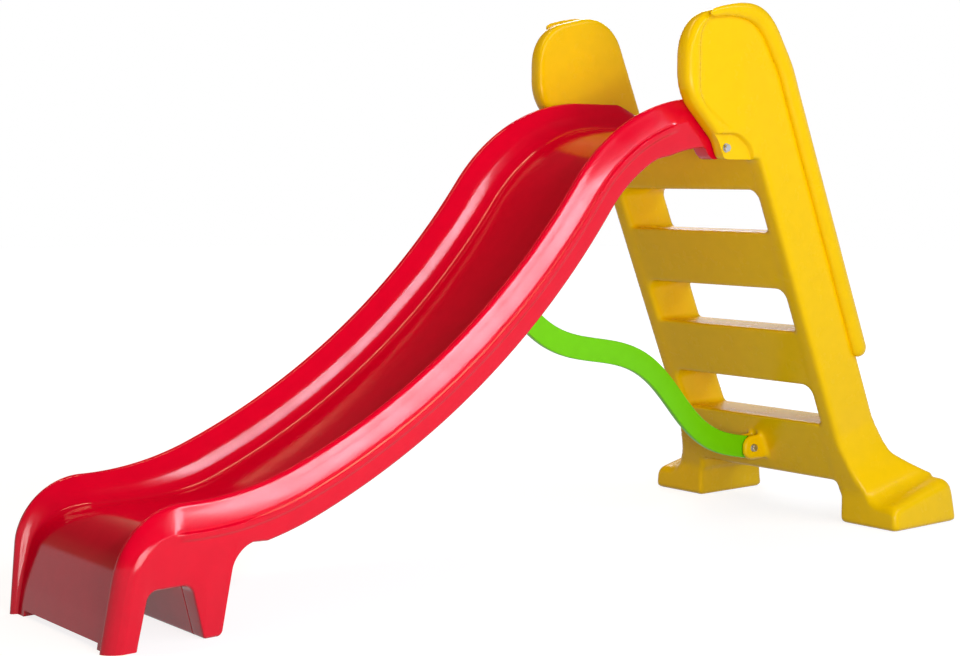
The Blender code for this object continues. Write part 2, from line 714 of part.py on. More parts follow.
def bead_path():
    """Centre line of the grip, from the front of the lobe over the top and down the rear edge."""
    inset = BEAD_WIDTH / 2
    lobe_x = face_x(LOBE_TOP - LOBE_FRONT_ROUND) - LOBE_LENGTH
    top = LOBE_TOP + BEAD_TOP_PROUD - inset
    shift = (BEAD_OVERHANG - inset) / math.cos(LADDER_LEAN)
    rear_top = rear_x(top) + shift
    corners = [
        (lobe_x + LOBE_FRONT_ROUND * 0.53, LOBE_TOP - LOBE_FRONT_ROUND * 0.37, 0.0),
        (lobe_x + LOBE_FRONT_ROUND * 0.80, top, LOBE_FRONT_ROUND * 0.5),
        (rear_top, top, LOBE_REAR_ROUND - inset / 2),
        (rear_x(BEAD_END_HEIGHT) + shift, BEAD_END_HEIGHT, 0.0),
        (rear_x(BEAD_END_HEIGHT), BEAD_END_HEIGHT, 0.0),
    ]
    return rounded_outline(corners)[:-1]


def build_grip(bm, side):
    """Half-round bead swept along its path, standing proud of the panel's outer face."""
    path = [Vector(point) for point in bead_path()]
    rings = []
    across_steps = 8
    half = BEAD_WIDTH / 2
    last_index = len(path) - 1
    stations = []
    for index, point in enumerate(path):
        before = path[max(index - 1, 0)]
        after = path[min(index + 1, last_index)]
        stations.append((point, (after - before).normalized(), 1.0))
    start, start_dir, _ = stations[0]
    end, end_dir, _ = stations[-1]
    nose = [(0.95, 0.25), (0.70, 0.70), (0.30, 0.95)]
    head = [(start - start_dir * half * reach, start_dir, size) for reach, size in nose]
    tail = [(end + end_dir * half * reach, end_dir, size) for reach, size in reversed(nose)]
    for point, direction, size in head + stations + tail:
        across = Vector((direction.y, -direction.x))
        ring = []
        for number in range(across_steps + 1):
            angle = math.pi * number / across_steps
            place = point + across * (half * size * math.cos(angle))
            rise = BEAD_PROUD * size * math.sin(angle)
            ring.append(bm.verts.new((place.x, side * (RAIL_OUT + rise), place.y)))
        for sign in (-1, 1):
            place = point + across * (half * size * sign)
            ring.append(bm.verts.new((place.x, side * (RAIL_OUT - RAIL_WIDTH * 0.7), place.y)))
        rings.append(ring)
    for first, last in zip(rings, rings[1:]):
        for index in range(len(first)):
            other = (index + 1) % len(first)
            bm.faces.new((first[index], first[other], last[other], last[index]))
    bm.faces.new(rings[0])
    bm.faces.new(list(reversed(rings[-1])))


def opening_outline(half_width, low, high, rounding):
    """Opening in YZ with rounded upper corners."""
    return rounded_outline([(-half_width, low, 0.0), (half_width, low, 0.0),
                            (half_width, high, rounding), (-half_width, high, rounding)])


def add_opening(name, outline, x_from, x_to):
    bm = bmesh.new()
    first = [bm.verts.new((x_from, y, z)) for y, z in outline]
    last = [bm.verts.new((x_to, y, z)) for y, z in outline]
    bm.faces.new(first)
    bm.faces.new(list(reversed(last)))
    for index in range(len(outline)):
        other = (index + 1) % len(outline)
        bm.faces.new((first[index], first[other], last[other], last[index]))
    return add_object(name, bm, None)


def ladder_clevis_ear(side):
    """Ear on the lowest rung's face for the strut's lower bolt."""
    x, z = LADDER_CLEVIS
    radius = LADDER_CLEVIS_RADIUS
    behind = RAIL_DEPTH / 8
    corners = [
        (x - radius, z + radius, radius * 0.98),
        (x - radius, z - radius, radius * 0.98),
        (face_x(z - radius) + behind, z - radius, 0.0),
        (face_x(z + radius) + behind, z + radius, 0.0),
    ]
    return add_prism(f"ladder_ear_{side}", rounded_outline(corners), side * EAR_IN, side * EAR_OUT)


def build_ladder(material):
    """One moulded body: rung panel with three openings, two side panels, feet, grips and clevis."""
    overlap = RAIL_WIDTH / 3
    low, high = LOWEST_RUNG_BOTTOM, TOP_TREAD
    outline = [(face_x(low) + RUNG_SETBACK, low), (rear_x(low) - RUNG_SETBACK, low),
               (rear_x(high) - RUNG_SETBACK, high), (face_x(high) + RUNG_SETBACK, high)]
    ladder = add_prism("ladder", outline, -RAIL_IN - overlap, RAIL_IN + overlap, material)
    x_from = face_x(TOP_TREAD) - RAIL_DEPTH
    x_to = rear_x(0.0) + RAIL_DEPTH
    for number, (tread, height) in enumerate(OPENINGS):
        shape = opening_outline(RAIL_IN - TOUCH_GAP, tread, tread + height, OPENING_ROUND)
        boolean(ladder, add_opening(f"opening_{number}", shape, x_from, x_to), "DIFFERENCE")
    for side in (-1, 1):
        boolean(ladder, ladder_clevis_ear(side), "UNION")
    reach = STRUT_THICKNESS + CLEVIS_EAR
    tool = add_pin("ladder_clevis_bore", LADDER_CLEVIS, -reach, reach, BORE_RADIUS)
    boolean(ladder, tool, "DIFFERENCE")
    for side in (-1, 1):
        boolean(ladder, build_panel(side), "UNION")
        boolean(ladder, build_foot(side), "UNION")
    bm = bmesh.new()
    for side in (-1, 1):
        build_grip(bm, side)
    boolean(ladder, add_object("grips", bm, None), "UNION")
    return ladder


def strut_centre(share):
    """Point on the strut's wavy centre line, from the chute's clevis to the ladder's."""
    upper = Vector(chute_clevis()[:2])
    lower = Vector(LADDER_CLEVIS)
    along = lower - upper
    up = Vector((-along.y, along.x)).normalized()
    return upper + along * share - up * (STRUT_WAVE * math.sin(STRUT_HALF_WAVES * math.pi * share))


def strut_outline():
    """Strut seen from the side: wavy bar with round ends."""
    count = 30
    half = STRUT_DEPTH / 2
    upper_edge, lower_edge = [], []
    small = 1e-3
    for number in range(count + 1):
        share = number / count
        point = strut_centre(share)
        ahead = strut_centre(share + small) - strut_centre(share - small)
        ahead.normalize()
        up = Vector((-ahead.y, ahead.x))
        upper_edge.append(point + up * half)
        lower_edge.append(point - up * half)
        if number == 0:
            first_ahead = ahead.copy()
        last_ahead = ahead.copy()
    cap_steps = 10
    caps = []
    for centre, ahead in ((strut_centre(1.0), last_ahead), (strut_centre(0.0), -first_ahead)):
        up = Vector((-ahead.y, ahead.x))
        points = []
        for number in range(1, cap_steps):
            angle = math.pi / 2 - math.pi * number / cap_steps
            points.append(centre + (ahead * math.cos(angle) + up * math.sin(angle)) * half)
        caps.append(points)
    points = upper_edge + caps[0] + list(reversed(lower_edge)) + caps[1]
    return [(point.x, point.y) for point in points]


def hook_direction():
    """Way that the lower bolt leaves the strut's hook as the slide starts to fold."""
    pin = Vector(LADDER_CLEVIS)
    arm = pin - Vector(PIVOT)
    swing = pin - Vector(chute_clevis()[:2])
    return (Vector((arm.y, -arm.x)) - Vector((swing.y, -swing.x)) * FOLD_RATIO).normalized()


def build_strut(material):
    """Curved strut with a bolt hole at the chute and an open hook at the ladder."""
    half = STRUT_THICKNESS / 2
    strut = add_prism("strut", strut_outline(), -half, half, material)
    add_bevel(strut, STRUT_EDGE_ROUND)
    reach = half + OVERRUN
    pin = Vector(LADDER_CLEVIS)
    upper = add_pin("strut_bore", chute_clevis()[:2], -reach, reach, BORE_RADIUS)
    boolean(strut, upper, "DIFFERENCE")
    radius = BOLT_DIAMETER / 2 + HOOK_CLEARANCE
    away = hook_direction()
    across = Vector((-away.y, away.x))
    outline = []
    for number in range(PIN_SIDES // 2 + 1):
        angle = math.pi * number / (PIN_SIDES // 2)
        point = pin + across * (radius * math.cos(angle)) - away * (radius * math.sin(angle))
        outline.append((point.x, point.y))
    for sign in (-1, 1):
        point = pin + across * (radius * sign) + away * STRUT_DEPTH
        outline.append((point.x, point.y))
    boolean(strut, add_prism("hook_slot", outline, -reach, reach), "DIFFERENCE")
    return strut


def hex_outline(centre, width):
    radius = width / 2 / math.cos(math.pi / 6)
    return [(centre[0] + radius * math.cos(math.pi / 3 * number),
             centre[1] + radius * math.sin(math.pi / 3 * number)) for number in range(6)]


def build_bolt(name, centre, head_y, end_y, material):
    """Hex bolt: head against head_y, shank running to end_y."""
    away = 1 if head_y > end_y else -1
    bm = bmesh.new()
    extrude_outline(bm, hex_outline(centre, HEX_WIDTH), head_y, head_y + away * HEAD_HEIGHT)
    bolt = add_object(name, bm, material)
    add_bevel(bolt, HEX_CHAMFER, segments=1)
    shank = add_pin(f"{name}_shank", centre, end_y, head_y + away * HEAD_HEIGHT / 2, BOLT_DIAMETER / 2)
    boolean(bolt, shank, "UNION")
    return bolt


def build_ring(name, centre, y_from, y_to, outline, material):
    """Washer or nut: an outline with a bore, along Y."""
    ring = add_prism(name, outline, y_from, y_to, material)
    bore = add_pin(f"{name}_bore", centre, y_from - OVERRUN, y_to + OVERRUN, BORE_RADIUS)
    boolean(ring, bore, "DIFFERENCE")
    return ring


def round_outline(centre, diameter, sides=PIN_SIDES):
    return [(centre[0] + diameter / 2 * math.cos(2 * math.pi * number / sides),
             centre[1] + diameter / 2 * math.sin(2 * math.pi * number / sides)) for number in range(sides)]


def build_fastening(prefix, suffix, centre, head_face, nut_face, steel):
    """Bolt through both faces with a washer under its head and one under its nut."""
    out = 1 if head_face > nut_face else -1
    washer_out = head_face + out * TOUCH_GAP
    head_y = washer_out + out * (WASHER_THICKNESS + TOUCH_GAP)
    washer_in = nut_face - out * TOUCH_GAP
    nut_y = washer_in - out * (WASHER_THICKNESS + TOUCH_GAP)
    end_y = nut_y - out * (NUT_HEIGHT + THREAD_END)
    build_bolt(f"{prefix}_bolt{suffix}", centre, head_y, end_y, steel)
    for label, start, toward in (("head", washer_out, out), ("nut", washer_in, -out)):
        faces = sorted((start, start + toward * WASHER_THICKNESS))
        build_ring(f"{prefix}_{label}_washer{suffix}", centre, *faces,
                   round_outline(centre, WASHER_DIAMETER), steel)
    faces = sorted((nut_y, nut_y - out * NUT_HEIGHT))
    build_ring(f"{prefix}_nut{suffix}", centre, *faces, hex_outline(centre, HEX_WIDTH), steel)


def main():
    clear_scene()
    red = make_material("red_polyethylene", (0.62, 0.004, 0.03), 0.22)
    yellow = make_material("yellow_polyethylene", (0.95, 0.55, 0.004), 0.32)
    green = make_material("green_polyethylene", (0.17, 0.62, 0.01), 0.38)
    steel = make_material("zinc_plated_steel", (0.62, 0.63, 0.65), 0.35, 1.0)
    build_chute(red)
    build_ladder(yellow)
    build_strut(green)
    beam_face = CHUTE_HALF_WIDTH - BEAM_WIDTH
    for side, suffix in ((-1, "_near"), (1, "_far")):
        build_fastening("pivot", suffix, PIVOT, side * (RAIL_OUT - POCKET_RECESS), side * beam_face, steel)
    build_fastening("strut_ladder", "", LADDER_CLEVIS, -EAR_OUT, EAR_OUT, steel)
    build_fastening("strut_chute", "", chute_clevis()[:2], -EAR_OUT, EAR_OUT, steel)


main()
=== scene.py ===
import math

import bmesh
import bpy
from bpy.props import FloatProperty, FloatVectorProperty, IntProperty, PointerProperty
from mathutils import Matrix, Vector


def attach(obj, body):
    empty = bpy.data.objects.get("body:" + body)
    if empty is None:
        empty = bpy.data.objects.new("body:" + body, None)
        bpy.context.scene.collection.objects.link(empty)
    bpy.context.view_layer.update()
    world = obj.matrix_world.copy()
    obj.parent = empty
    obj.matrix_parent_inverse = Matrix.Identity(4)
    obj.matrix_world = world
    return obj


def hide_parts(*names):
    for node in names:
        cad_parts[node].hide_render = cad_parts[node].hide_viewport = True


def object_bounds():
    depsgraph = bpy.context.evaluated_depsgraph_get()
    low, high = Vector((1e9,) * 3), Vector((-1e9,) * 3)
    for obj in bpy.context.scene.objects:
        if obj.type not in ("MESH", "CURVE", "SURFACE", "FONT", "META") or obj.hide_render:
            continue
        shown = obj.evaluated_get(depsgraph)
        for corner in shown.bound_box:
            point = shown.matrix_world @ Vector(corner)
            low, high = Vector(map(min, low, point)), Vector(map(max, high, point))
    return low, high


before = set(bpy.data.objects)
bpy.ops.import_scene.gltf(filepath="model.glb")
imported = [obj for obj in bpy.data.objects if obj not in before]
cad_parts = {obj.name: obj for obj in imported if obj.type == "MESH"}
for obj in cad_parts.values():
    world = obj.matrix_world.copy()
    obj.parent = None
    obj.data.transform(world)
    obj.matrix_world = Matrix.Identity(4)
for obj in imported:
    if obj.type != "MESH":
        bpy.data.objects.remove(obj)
cad_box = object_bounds()

bl_info = {
    "name": "Folding kids slide",
    "version": (1, 0, 0),
    "blender": (4, 5, 0),
    "location": "View3D > Sidebar > Slide",
    "description": "Moulded pieces, bolts, finishes and studio for a folding kids slide",
    "category": "Add Mesh",
}

TINY = 1e-9
# Degrees from which an edge stays sharp, and the same on the remeshed ladder
SHARP, REMESHED_SHARP = 35.0, 40.0
# Axis of the pivot bolts, as (x, z)
PIVOT = (0.3487663429886898, 0.769)
# Degrees that the strut swings for each degree that the ladder folds
FOLD_RATIO = 1.55
# Inner faces and outer faces of both brackets' ears
EAR_IN = 0.0065
EAR_OUT = 0.0185
# Clearance that the strut's open hook adds to the bolt hole's radius
HOOK_CLEARANCE = 0.0003
# Half length of the cutters for the strut's two bolts
CUTTER_HALF = 0.03
# Share of an ear's radius that bends its corners, just short of a full half circle
EAR_BEND = 0.98
# Chute: half width of the tongue between the ladder's cheeks, radius under the pivot, and the
# curved end of the outer wall, as (x, z) from the pivot
TONGUE_HALF = 0.1892
CHUTE_EAR = 0.022
WALL_END = ((-0.111, 0.134), (-0.106, 0.084), (-0.095, 0.060), (-0.069, 0.040),
            (-0.039, 0.013), (-0.024, -0.019), (-0.018, -0.040))
# The rib's rounded nose, and the taper that ends it ahead of the pivot
RIB_NOSE = 0.009
RIB_END_AHEAD = 0.150
RIB_TAPER = 0.045
# Round post beside the front wall, as (y from the crown, share of the bed's depth, further drop),
# then as (y from the outer wall, drop)
POST_CROWN = ((-0.0130, 1.0, 0.0), (-0.0085, 0.92, 0.0), (-0.0055, 0.30, 0.0), (-0.0015, 0.0, 0.0003),
              (0.0, 0.0, 0.0), (0.0015, 0.0, 0.0), (0.0040, 0.0, 0.0006), (0.0090, 0.0, 0.0028),
              (0.0150, 0.0, 0.0075), (0.0205, 0.0, 0.0150))
POST_SIDE = ((-0.0012, 0.0215), (0.0, 0.0260), (0.0, 0.0300), (0.0, 0.0340), (0.0, 0.0380))
# Ladder: height of each tread under an opening, and the opening's height
RUNG_GAPS = ((0.211, 0.081), (0.405, 0.086), (0.606, 0.083))
# Feet: radii at the sole, at knee and lower heel, along the top and at the upper heel, and the
# points in each ring of their skin
SOLE_BEND, KNEE_BEND, FOOT_BEND, HEEL_BEND = 0.007, 0.030, 0.020, 0.040
FOOT_POINTS = 150
# Grip over the lobe: centre line in XZ, and the height where it meets the straight part
GRIP_TOP = ((0.288, 1.0165), (0.318, 1.0228), (0.345, 1.0262), (0.372, 1.0272), (0.398, 1.0247),
            (0.418, 1.0187), (0.436, 1.0075), (0.455, 0.9880), (0.473, 0.9610))
GRIP_JOIN = 0.920
# Along its first 0.16 m the grip grows from this share to its full width
GRIP_START, GRIP_GROWTH, GRIP_SIDES = 0.42, 0.16, 36
# Step between the rings of the grips, and rings along the strut's line and its bar
SWEEP_STEP, LINE_POINTS, BAR_POINTS = 0.0035, 160, 420
# Pocket round the pivot bolt: how deep each ring lies and how far it spreads. The first three
# depths count from the pocket's floor, the others from the panel's face
POCKET_FLOOR = ((0.0, -0.0020), (0.0006, -0.0008), (0.002, 0.0))
POCKET_LIP = ((0.003, 0.0012), (0.001, 0.0024), (-0.001, 0.006), (-0.02, 0.03))
# Camera fitted to the photograph: place, turns in radians and focal length in pixels
CAMERA_PLACE = (-2.1323, -2.5168, 0.7196)
CAMERA_YAW, CAMERA_PITCH, CAMERA_ROLL = 0.685628, 0.0875321, 0.00255
FOCAL_PIXELS, PICTURE_WIDTH, SENSOR_WIDTH = 1761.12, 960.0, 36.0
# Studio floor, and its glow from near to far with the two distances between which it rises
FLOOR_RADIUS = 14.0
FLOOR_GLOW = (0.84, 1.0, 1.2, 3.5)
# Lamps: name, place, direction of the long side, size, radiance, colour. Most face the centre
LAMP_CENTRE = (0.0, 0.0, 0.45)
LAMPS = (
    ("key_softbox", (0.5, -3.0, 2.35), (0.884, 0.0, 0.467), (5.0, 0.17), 28.0, (0.86, 0.88, 1.0)),
    ("warm_strip", (-0.8, 0.6, 3.0), (1.88, 0.59, 0.0), (2.6, 0.3), 11.0, (1.0, 0.75, 0.45)),
    ("rung_fill", (-0.85, -2.2, 0.45), (1.0, 0.0, 0.0), (1.2, 0.8), 11.0, (1.0, 0.98, 0.95)),
    ("back_softbox", (2.5, 2.5, 2.2), (1.0, -1.0, 0.0), (1.6, 1.2), 6.0, (1.0, 1.0, 1.0)),
)
LAMP_TARGETS = {"rung_fill": (0.6, 0.0, 0.4)}


def linear(hex_colour):
    """sRGB hex colour as a linear RGBA value."""
    channels = []
    for start in (1, 3, 5):
        value = int(hex_colour[start:start + 2], 16) / 255
        channels.append(value / 12.92 if value <= 0.04045 else ((value + 0.055) / 1.055) ** 2.4)
    return (*channels, 1.0)


def length(name, description, default):
    return FloatProperty(name=name, description=description, default=default, precision=5, unit="LENGTH")


def angle(name, description, degrees):
    return FloatProperty(name=name, description=description, default=math.radians(degrees),
                         subtype="ANGLE")


def colour(name, description, hex_colour):
    return FloatVectorProperty(name=name, description=description, default=linear(hex_colour),
                               size=4, min=0.0, max=1.0, subtype="COLOR")


class ChuteSizes(bpy.types.PropertyGroup):
    """Sizes of the chute, from its crown line to its arched foot."""

    exit_rim: length("Exit rim", "Height of the rims at the exit", 0.216)
    platform_rim: length("Platform rim", "Height of the rims at the platform", 0.863)
    front_draft: angle("Front draft", "Lean of the front wall", 8.0)
    front_bend: length("Front bend", "Radius over the front wall", 0.120)
    exit_flat: length("Exit flat", "Level run at the exit", 0.012)
    runout_radius: length("Run-out radius", "Radius at the end of the ride", 0.535)
    runout_angle: angle("Run-out angle", "Slope where the run-out ends", 21.4)
    steepest_angle: angle("Steepest angle", "Slope of the steepest part", 52.3)
    steep_run: length("Steep run", "Straight part of the slope", 0.006)
    crest_radius: length("Crest radius", "Radius at the top of the ride", 0.405)
    platform_run: length("Platform run", "Level part behind the crest", 0.106)
    tail_run: length("Tail run", "Part that lies on the top tread", 0.104)
    tail_drop: length("Tail drop", "Fall of the rims along the tail", 0.044)
    half_width: length("Half width", "Middle to outer wall", 0.1945)
    crown_spacing: length("Crown spacing", "Middle to rim crown", 0.170)
    bed_half_width: length("Bed half width", "Middle to the foot of the inner wall", 0.1275)
    front_recess: length("Front recess", "Depth of the front wall behind its posts", 0.010)
    exit_depth: length("Exit depth", "Depth of the bed at the exit", 0.047)
    slope_depth: length("Slope depth", "Depth of the bed on the slope", 0.066)
    platform_depth: length("Platform depth", "Depth of the bed on the platform", 0.055)
    bed_thickness: length("Bed thickness", "Thickness of the hollow bed", 0.029)
    skirt_depth: length("Skirt depth", "Height of the side walls", 0.087)
    platform_skirt: length("Platform skirt", "Height of the side walls at the platform", 0.094)
    beam_width: length("Beam width", "Width of the hollow side beams", 0.040)
    shoulder_depth: length("Shoulder depth", "Crown down to the rib", 0.041)
    rib_height: length("Rib height", "Height of the rib under the shoulder", 0.0125)
    rib_proud: length("Rib proud", "How far the rib stands out", 0.0035)
    rib_start: length("Rib start", "Front wall to the rib's nose", 0.106)
    groove_depth: length("Groove depth", "Depth of the groove along the crown", 0.0022)
    bed_fillet: length("Bed fillet", "Softness of the bed's corners", 0.020)
    edge_round: length("Edge round", "Radius of the lower edges", 0.006)
    front_leg: length("Front leg", "Length of the front leg", 0.052)
    arch_span: length("Arch span", "Opening between the legs", 0.114)
    arch_height: length("Arch height", "Height of the arch", 0.091)
    arch_round: length("Arch round", "Radius of the arch's corners", 0.020)
    rear_leg: length("Rear leg", "Length of the rear leg's sole", 0.031)
    rear_leg_flare: length("Rear leg flare", "How much wider the rear leg is at its top", 0.026)
    leg_draft: length("Leg draft", "How far the legs lean in at the ground", 0.014)
    leg_draft_height: length("Leg draft height", "Height where the lean ends", 0.130)
    relief_height: length("Relief height", "Gap under the front wall", 0.010)
    relief_half_width: length("Relief half width", "Half width of that gap", 0.128)
    clevis_radius: length("Clevis radius", "Radius of the ears under the bed", 0.022)
    clevis_base: length("Clevis base", "Length of the ears at the bed", 0.084)
    clevis_below: length("Clevis below", "Underside of the bed down to the bolt", 0.038)
    clevis_heading: angle("Clevis heading", "Slope of the bed above the ears", 46.0138)


class LadderSizes(bpy.types.PropertyGroup):
    """Sizes of the ladder, its feet, lobes and grips."""

    lean: angle("Lean", "Lean of the ladder", 23.4)
    foot_line: length("Foot line", "X of the front plane at the ground", 0.76004)
    rail_in: length("Rail inside", "Middle to the panels' inner faces", 0.190)
    rail_width: length("Rail width", "Thickness of the side panels", 0.038)
    rail_depth: length("Rail depth", "Front to back of the rails", 0.132)
    rail_round: length("Rail round", "Radius along the rails", 0.009)
    lobe_round: length("Lobe round", "Radius along the lobes' edges", 0.0165)
    lobe_front: length("Lobe front", "X of the lobes' front edge", 0.2374)
    lobe_top: length("Lobe top", "Height of the lobes", 1.0395)
    lobe_front_round: length("Lobe front round", "Radius of the lobe's front", 0.0904)
    lobe_rear_round: length("Lobe rear round", "Radius of the lobe's rear", 0.0932)
    lobe_shoulder_rise: length("Lobe shoulder rise", "Pivot up to the lobe's widest part", 0.099)
    lobe_shoulder_round: length("Lobe shoulder round", "Radius under the lobe", 0.090)
    dish_depth: length("Dish depth", "How deep the lobes' outer faces are hollowed", 0.009)
    dish_front: length("Dish front", "Lobe's front edge to the dish", 0.031)
    dish_top: length("Dish top", "Lobe's top down to the dish", 0.019)
    dish_rear: length("Dish rear", "X where the dish fades out", 0.386)
    ear_radius: length("Ear radius", "Radius of the pivot ears", 0.022)
    ear_corner: length("Ear corner", "Radius where ear and rail meet", 0.012)
    pocket_depth: length("Pocket depth", "Depth of the pocket round the pivot bolt", 0.011)
    grip_width: length("Grip width", "Width of the grips", 0.038)
    grip_proud: length("Grip proud", "How far the grips stand out", 0.015)
    grip_half_height: length("Grip half height", "Half of the grips' thickness", 0.0125)
    grip_overhang: length("Grip overhang", "How far the grips pass the rear edge", 0.0235)
    grip_end: length("Grip end", "Height where the grips end", 0.330)
    top_tread: length("Top tread", "Height of the top rung", 0.7787)
    lowest_rung: length("Lowest rung", "Underside of the lowest rung", 0.087)
    opening_round: length("Opening round", "Radius of the openings' upper corners", 0.020)
    foot_length: length("Foot length", "Length of the soles", 0.205)
    foot_front: length("Foot front", "X of the soles' front", 0.731042)
    foot_flare: length("Foot flare", "How far the feet spread outwards", 0.112)
    foot_front_height: length("Foot front height", "Edge height at the foot's front", 0.048)
    foot_rear_height: length("Foot rear height", "Edge height at the foot's rear", 0.095)
    flare_front: length("Flare front", "Height where the flare starts in front", 0.222)
    flare_rear: length("Flare rear", "Height where the flare starts behind", 0.260)
    heel_height: length("Heel height", "Height where the heel starts", 0.145)
    heel_draft: length("Heel draft", "Lean of the heel", 0.014)
    foot_top_round: length("Foot top round", "Radius along the foot's upper edge", 0.024)
    foot_edge_round: length("Foot edge round", "Radius of the foot's upright edges", 0.010)
    foot_lean: length("Foot lean", "How far the foot's outer side leans out", 0.006)
    step_in: length("Step in", "How much further apart the feet are under the rung", 0.008)
    step_height: length("Step height", "Height of that step", 0.082)
    clevis_radius: length("Clevis radius", "Radius of the ears on the lowest rung", 0.0265)
    voxel: length("Remesh size", "Grain of the mesh that joins the moulded forms", 0.0046)


class StrutSizes(bpy.types.PropertyGroup):
    """Sizes of the strut between chute and ladder."""

    depth: length("Depth", "Height of the bar", 0.047)
    thickness: length("Thickness", "Thickness of the bar", 0.012)
    wave: length("Wave", "Height of its waves", 0.0275)
    half_waves: IntProperty(name="Half waves", description="Number of half waves", default=3)
    edge_round: length("Edge round", "Radius of its edges", 0.0025)
    upper_x: length("Upper X", "X of the chute bracket's bolt", -0.0012336570)
    upper_z: length("Upper Z", "Height of the chute bracket's bolt", 0.4922113689)
    lower_x: length("Lower X", "X of the ladder bracket's bolt", 0.6620262103)
    lower_z: length("Lower Z", "Height of the ladder bracket's bolt", 0.141)


class FastenerSizes(bpy.types.PropertyGroup):
    """Sizes that the M8 bolts set."""

    bore: length("Bore", "Diameter of the bolt holes", 0.0086)


class SlideFinishes(bpy.types.PropertyGroup):
    """Colours of the mouldings and the fasteners."""

    chute: colour("Chute", "Crimson of the chute", "#E20028")
    ladder: colour("Ladder", "Yellow of the ladder", "#FACC00")
    strut: colour("Strut", "Green of the strut", "#74D400")
    zinc: colour("Zinc", "Zinc plating", "#C4C8D2")
    floor: colour("Floor", "Studio floor", "#959595")


GROUPS = {
    "slide_chute": ChuteSizes,
    "slide_ladder": LadderSizes,
    "slide_strut": StrutSizes,
    "slide_fasteners": FastenerSizes,
    "slide_finishes": SlideFinishes,
}


def add_node(tree, kind, inputs=None, **settings):
    """Node with its settings, its values and its links."""
    item = tree.nodes.new(kind)
    for key, value in settings.items():
        setattr(item, key, value)
    for key, value in (inputs or {}).items():
        if isinstance(value, bpy.types.NodeSocket):
            tree.links.new(value, item.inputs[key])
        else:
            item.inputs[key].default_value = value
    return item


def maths(tree, operation, *values, **settings):
    """Output of a Math node."""
    inputs = dict(enumerate(values))
    return add_node(tree, "ShaderNodeMath", inputs, operation=operation, **settings).outputs[0]


def form(tree, kind, inputs=None, **settings):
    """First output of a Geometry Nodes node."""
    return add_node(tree, "GeometryNode" + kind, inputs, **settings).outputs[0]


def spread(tree, value, low, high, start=0.0, end=1.0):
    """Value from start to end, mapped to low to high."""
    return add_node(tree, "ShaderNodeMapRange", {"Value": value, "From Min": start, "From Max": end,
                                                 "To Min": low, "To Max": high}).outputs[0]


def noise(tree, place, millimetres, detail, roughness=0.5):
    """Noise whose grains are about so many millimetres across."""
    return add_node(tree, "ShaderNodeTexNoise", {"Vector": place, "Scale": 1000 / millimetres,
                                                 "Detail": detail, "Roughness": roughness}).outputs["Fac"]


def new_material(name):
    material = bpy.data.materials.new(name)
    material.use_nodes = True
    shader = material.node_tree.nodes["Principled BSDF"]
    return material, material.node_tree, shader


def surface(tree, shader, base, tone, rough, height, distance, strength):
    """Links a base colour scaled by tone, a roughness and a bump to the shader."""
    tint = add_node(tree, "ShaderNodeHueSaturation", {"Color": base, "Value": tone})
    bump = add_node(tree, "ShaderNodeBump", {"Height": height, "Distance": distance, "Strength": strength})
    tree.links.new(tint.outputs["Color"], shader.inputs["Base Color"])
    tree.links.new(rough, shader.inputs["Roughness"])
    tree.links.new(bump.outputs["Normal"], shader.inputs["Normal"])


def moulded_polyethylene(name, base, roughness, gloss_level, depth_shift, peel_mm, peel_height):
    """Rotomoulded polyethylene: waxy gloss, faint orange peel and slightly uneven pigment."""
    material, tree, shader = new_material(name)
    place = add_node(tree, "ShaderNodeTexCoord").outputs["Object"]
    # Orange peel from the mould's blasted wall, on broad swells some 60 mm across
    peel = noise(tree, place, peel_mm, 1.0, 0.4)
    height = maths(tree, "MULTIPLY_ADD", noise(tree, place, 60, 2.0), 2.5, peel)
    # Pigment thins a little in streaks of some 25 mm
    tone = spread(tree, noise(tree, place, 25, 3.0), 1.0 - depth_shift, 1.0 + depth_shift * 0.3, 0.3, 0.7)
    # Handling scuffs dull the gloss in patches of some 40 mm
    gloss = spread(tree, noise(tree, place, 40, 4.0, 0.65), roughness, roughness + 0.06, 0.35, 0.75)
    surface(tree, shader, base, tone, gloss, height, peel_height, 1.0)
    shader.inputs["IOR"].default_value = 1.46
    shader.inputs["Specular IOR Level"].default_value = gloss_level
    return material


def zinc_plate(name, base):
    """Zinc-plated steel: bright bluish metal with a faint crystalline bloom."""
    material, tree, shader = new_material(name)
    place = add_node(tree, "ShaderNodeTexCoord").outputs["Object"]
    # Plating bloom: grains of about 1.5 mm
    bloom = noise(tree, place, 1.5, 3.0)
    surface(tree, shader, base, spread(tree, bloom, 0.8, 1.1), spread(tree, bloom, 0.24, 0.42), bloom,
            0.00005, 0.5)
    shader.inputs["Metallic"].default_value = 1.0
    return material


def finish(name):
    """The named finish, made once."""
    if name in bpy.data.materials:
        return bpy.data.materials[name]
    tones = bpy.context.scene.slide_finishes
    if name == "rotomoulded_polyethylene_red":
        return moulded_polyethylene(name, tones.chute, 0.10, 0.32, 0.04, 7.0, 0.00003)
    if name == "rotomoulded_polyethylene_yellow":
        return moulded_polyethylene(name, tones.ladder, 0.24, 0.20, 0.03, 6.0, 0.00004)
    if name == "moulded_polyethylene_green":
        return moulded_polyethylene(name, tones.strut, 0.34, 0.30, 0.04, 5.0, 0.00004)
    return zinc_plate(name, tones.zinc)


def add_object(name, bm):
    """Mesh object from a bmesh, with outward faces and smooth shading between sharp edges."""
    bmesh.ops.remove_doubles(bm, verts=bm.verts, dist=1e-7)
    bmesh.ops.recalc_face_normals(bm, faces=bm.faces)
    mesh = bpy.data.meshes.new(name)
    bm.to_mesh(mesh)
    bm.free()
    mesh.shade_smooth()
    mesh.set_sharp_from_angle(angle=math.radians(SHARP))
    item = bpy.data.objects.new(name, mesh)
    bpy.context.scene.collection.objects.link(item)
    return item


def add_modifier(item, kind, **settings):
    modifier = item.modifiers.new(kind.lower(), kind)
    for key, value in settings.items():
        setattr(modifier, key, value)
    return modifier


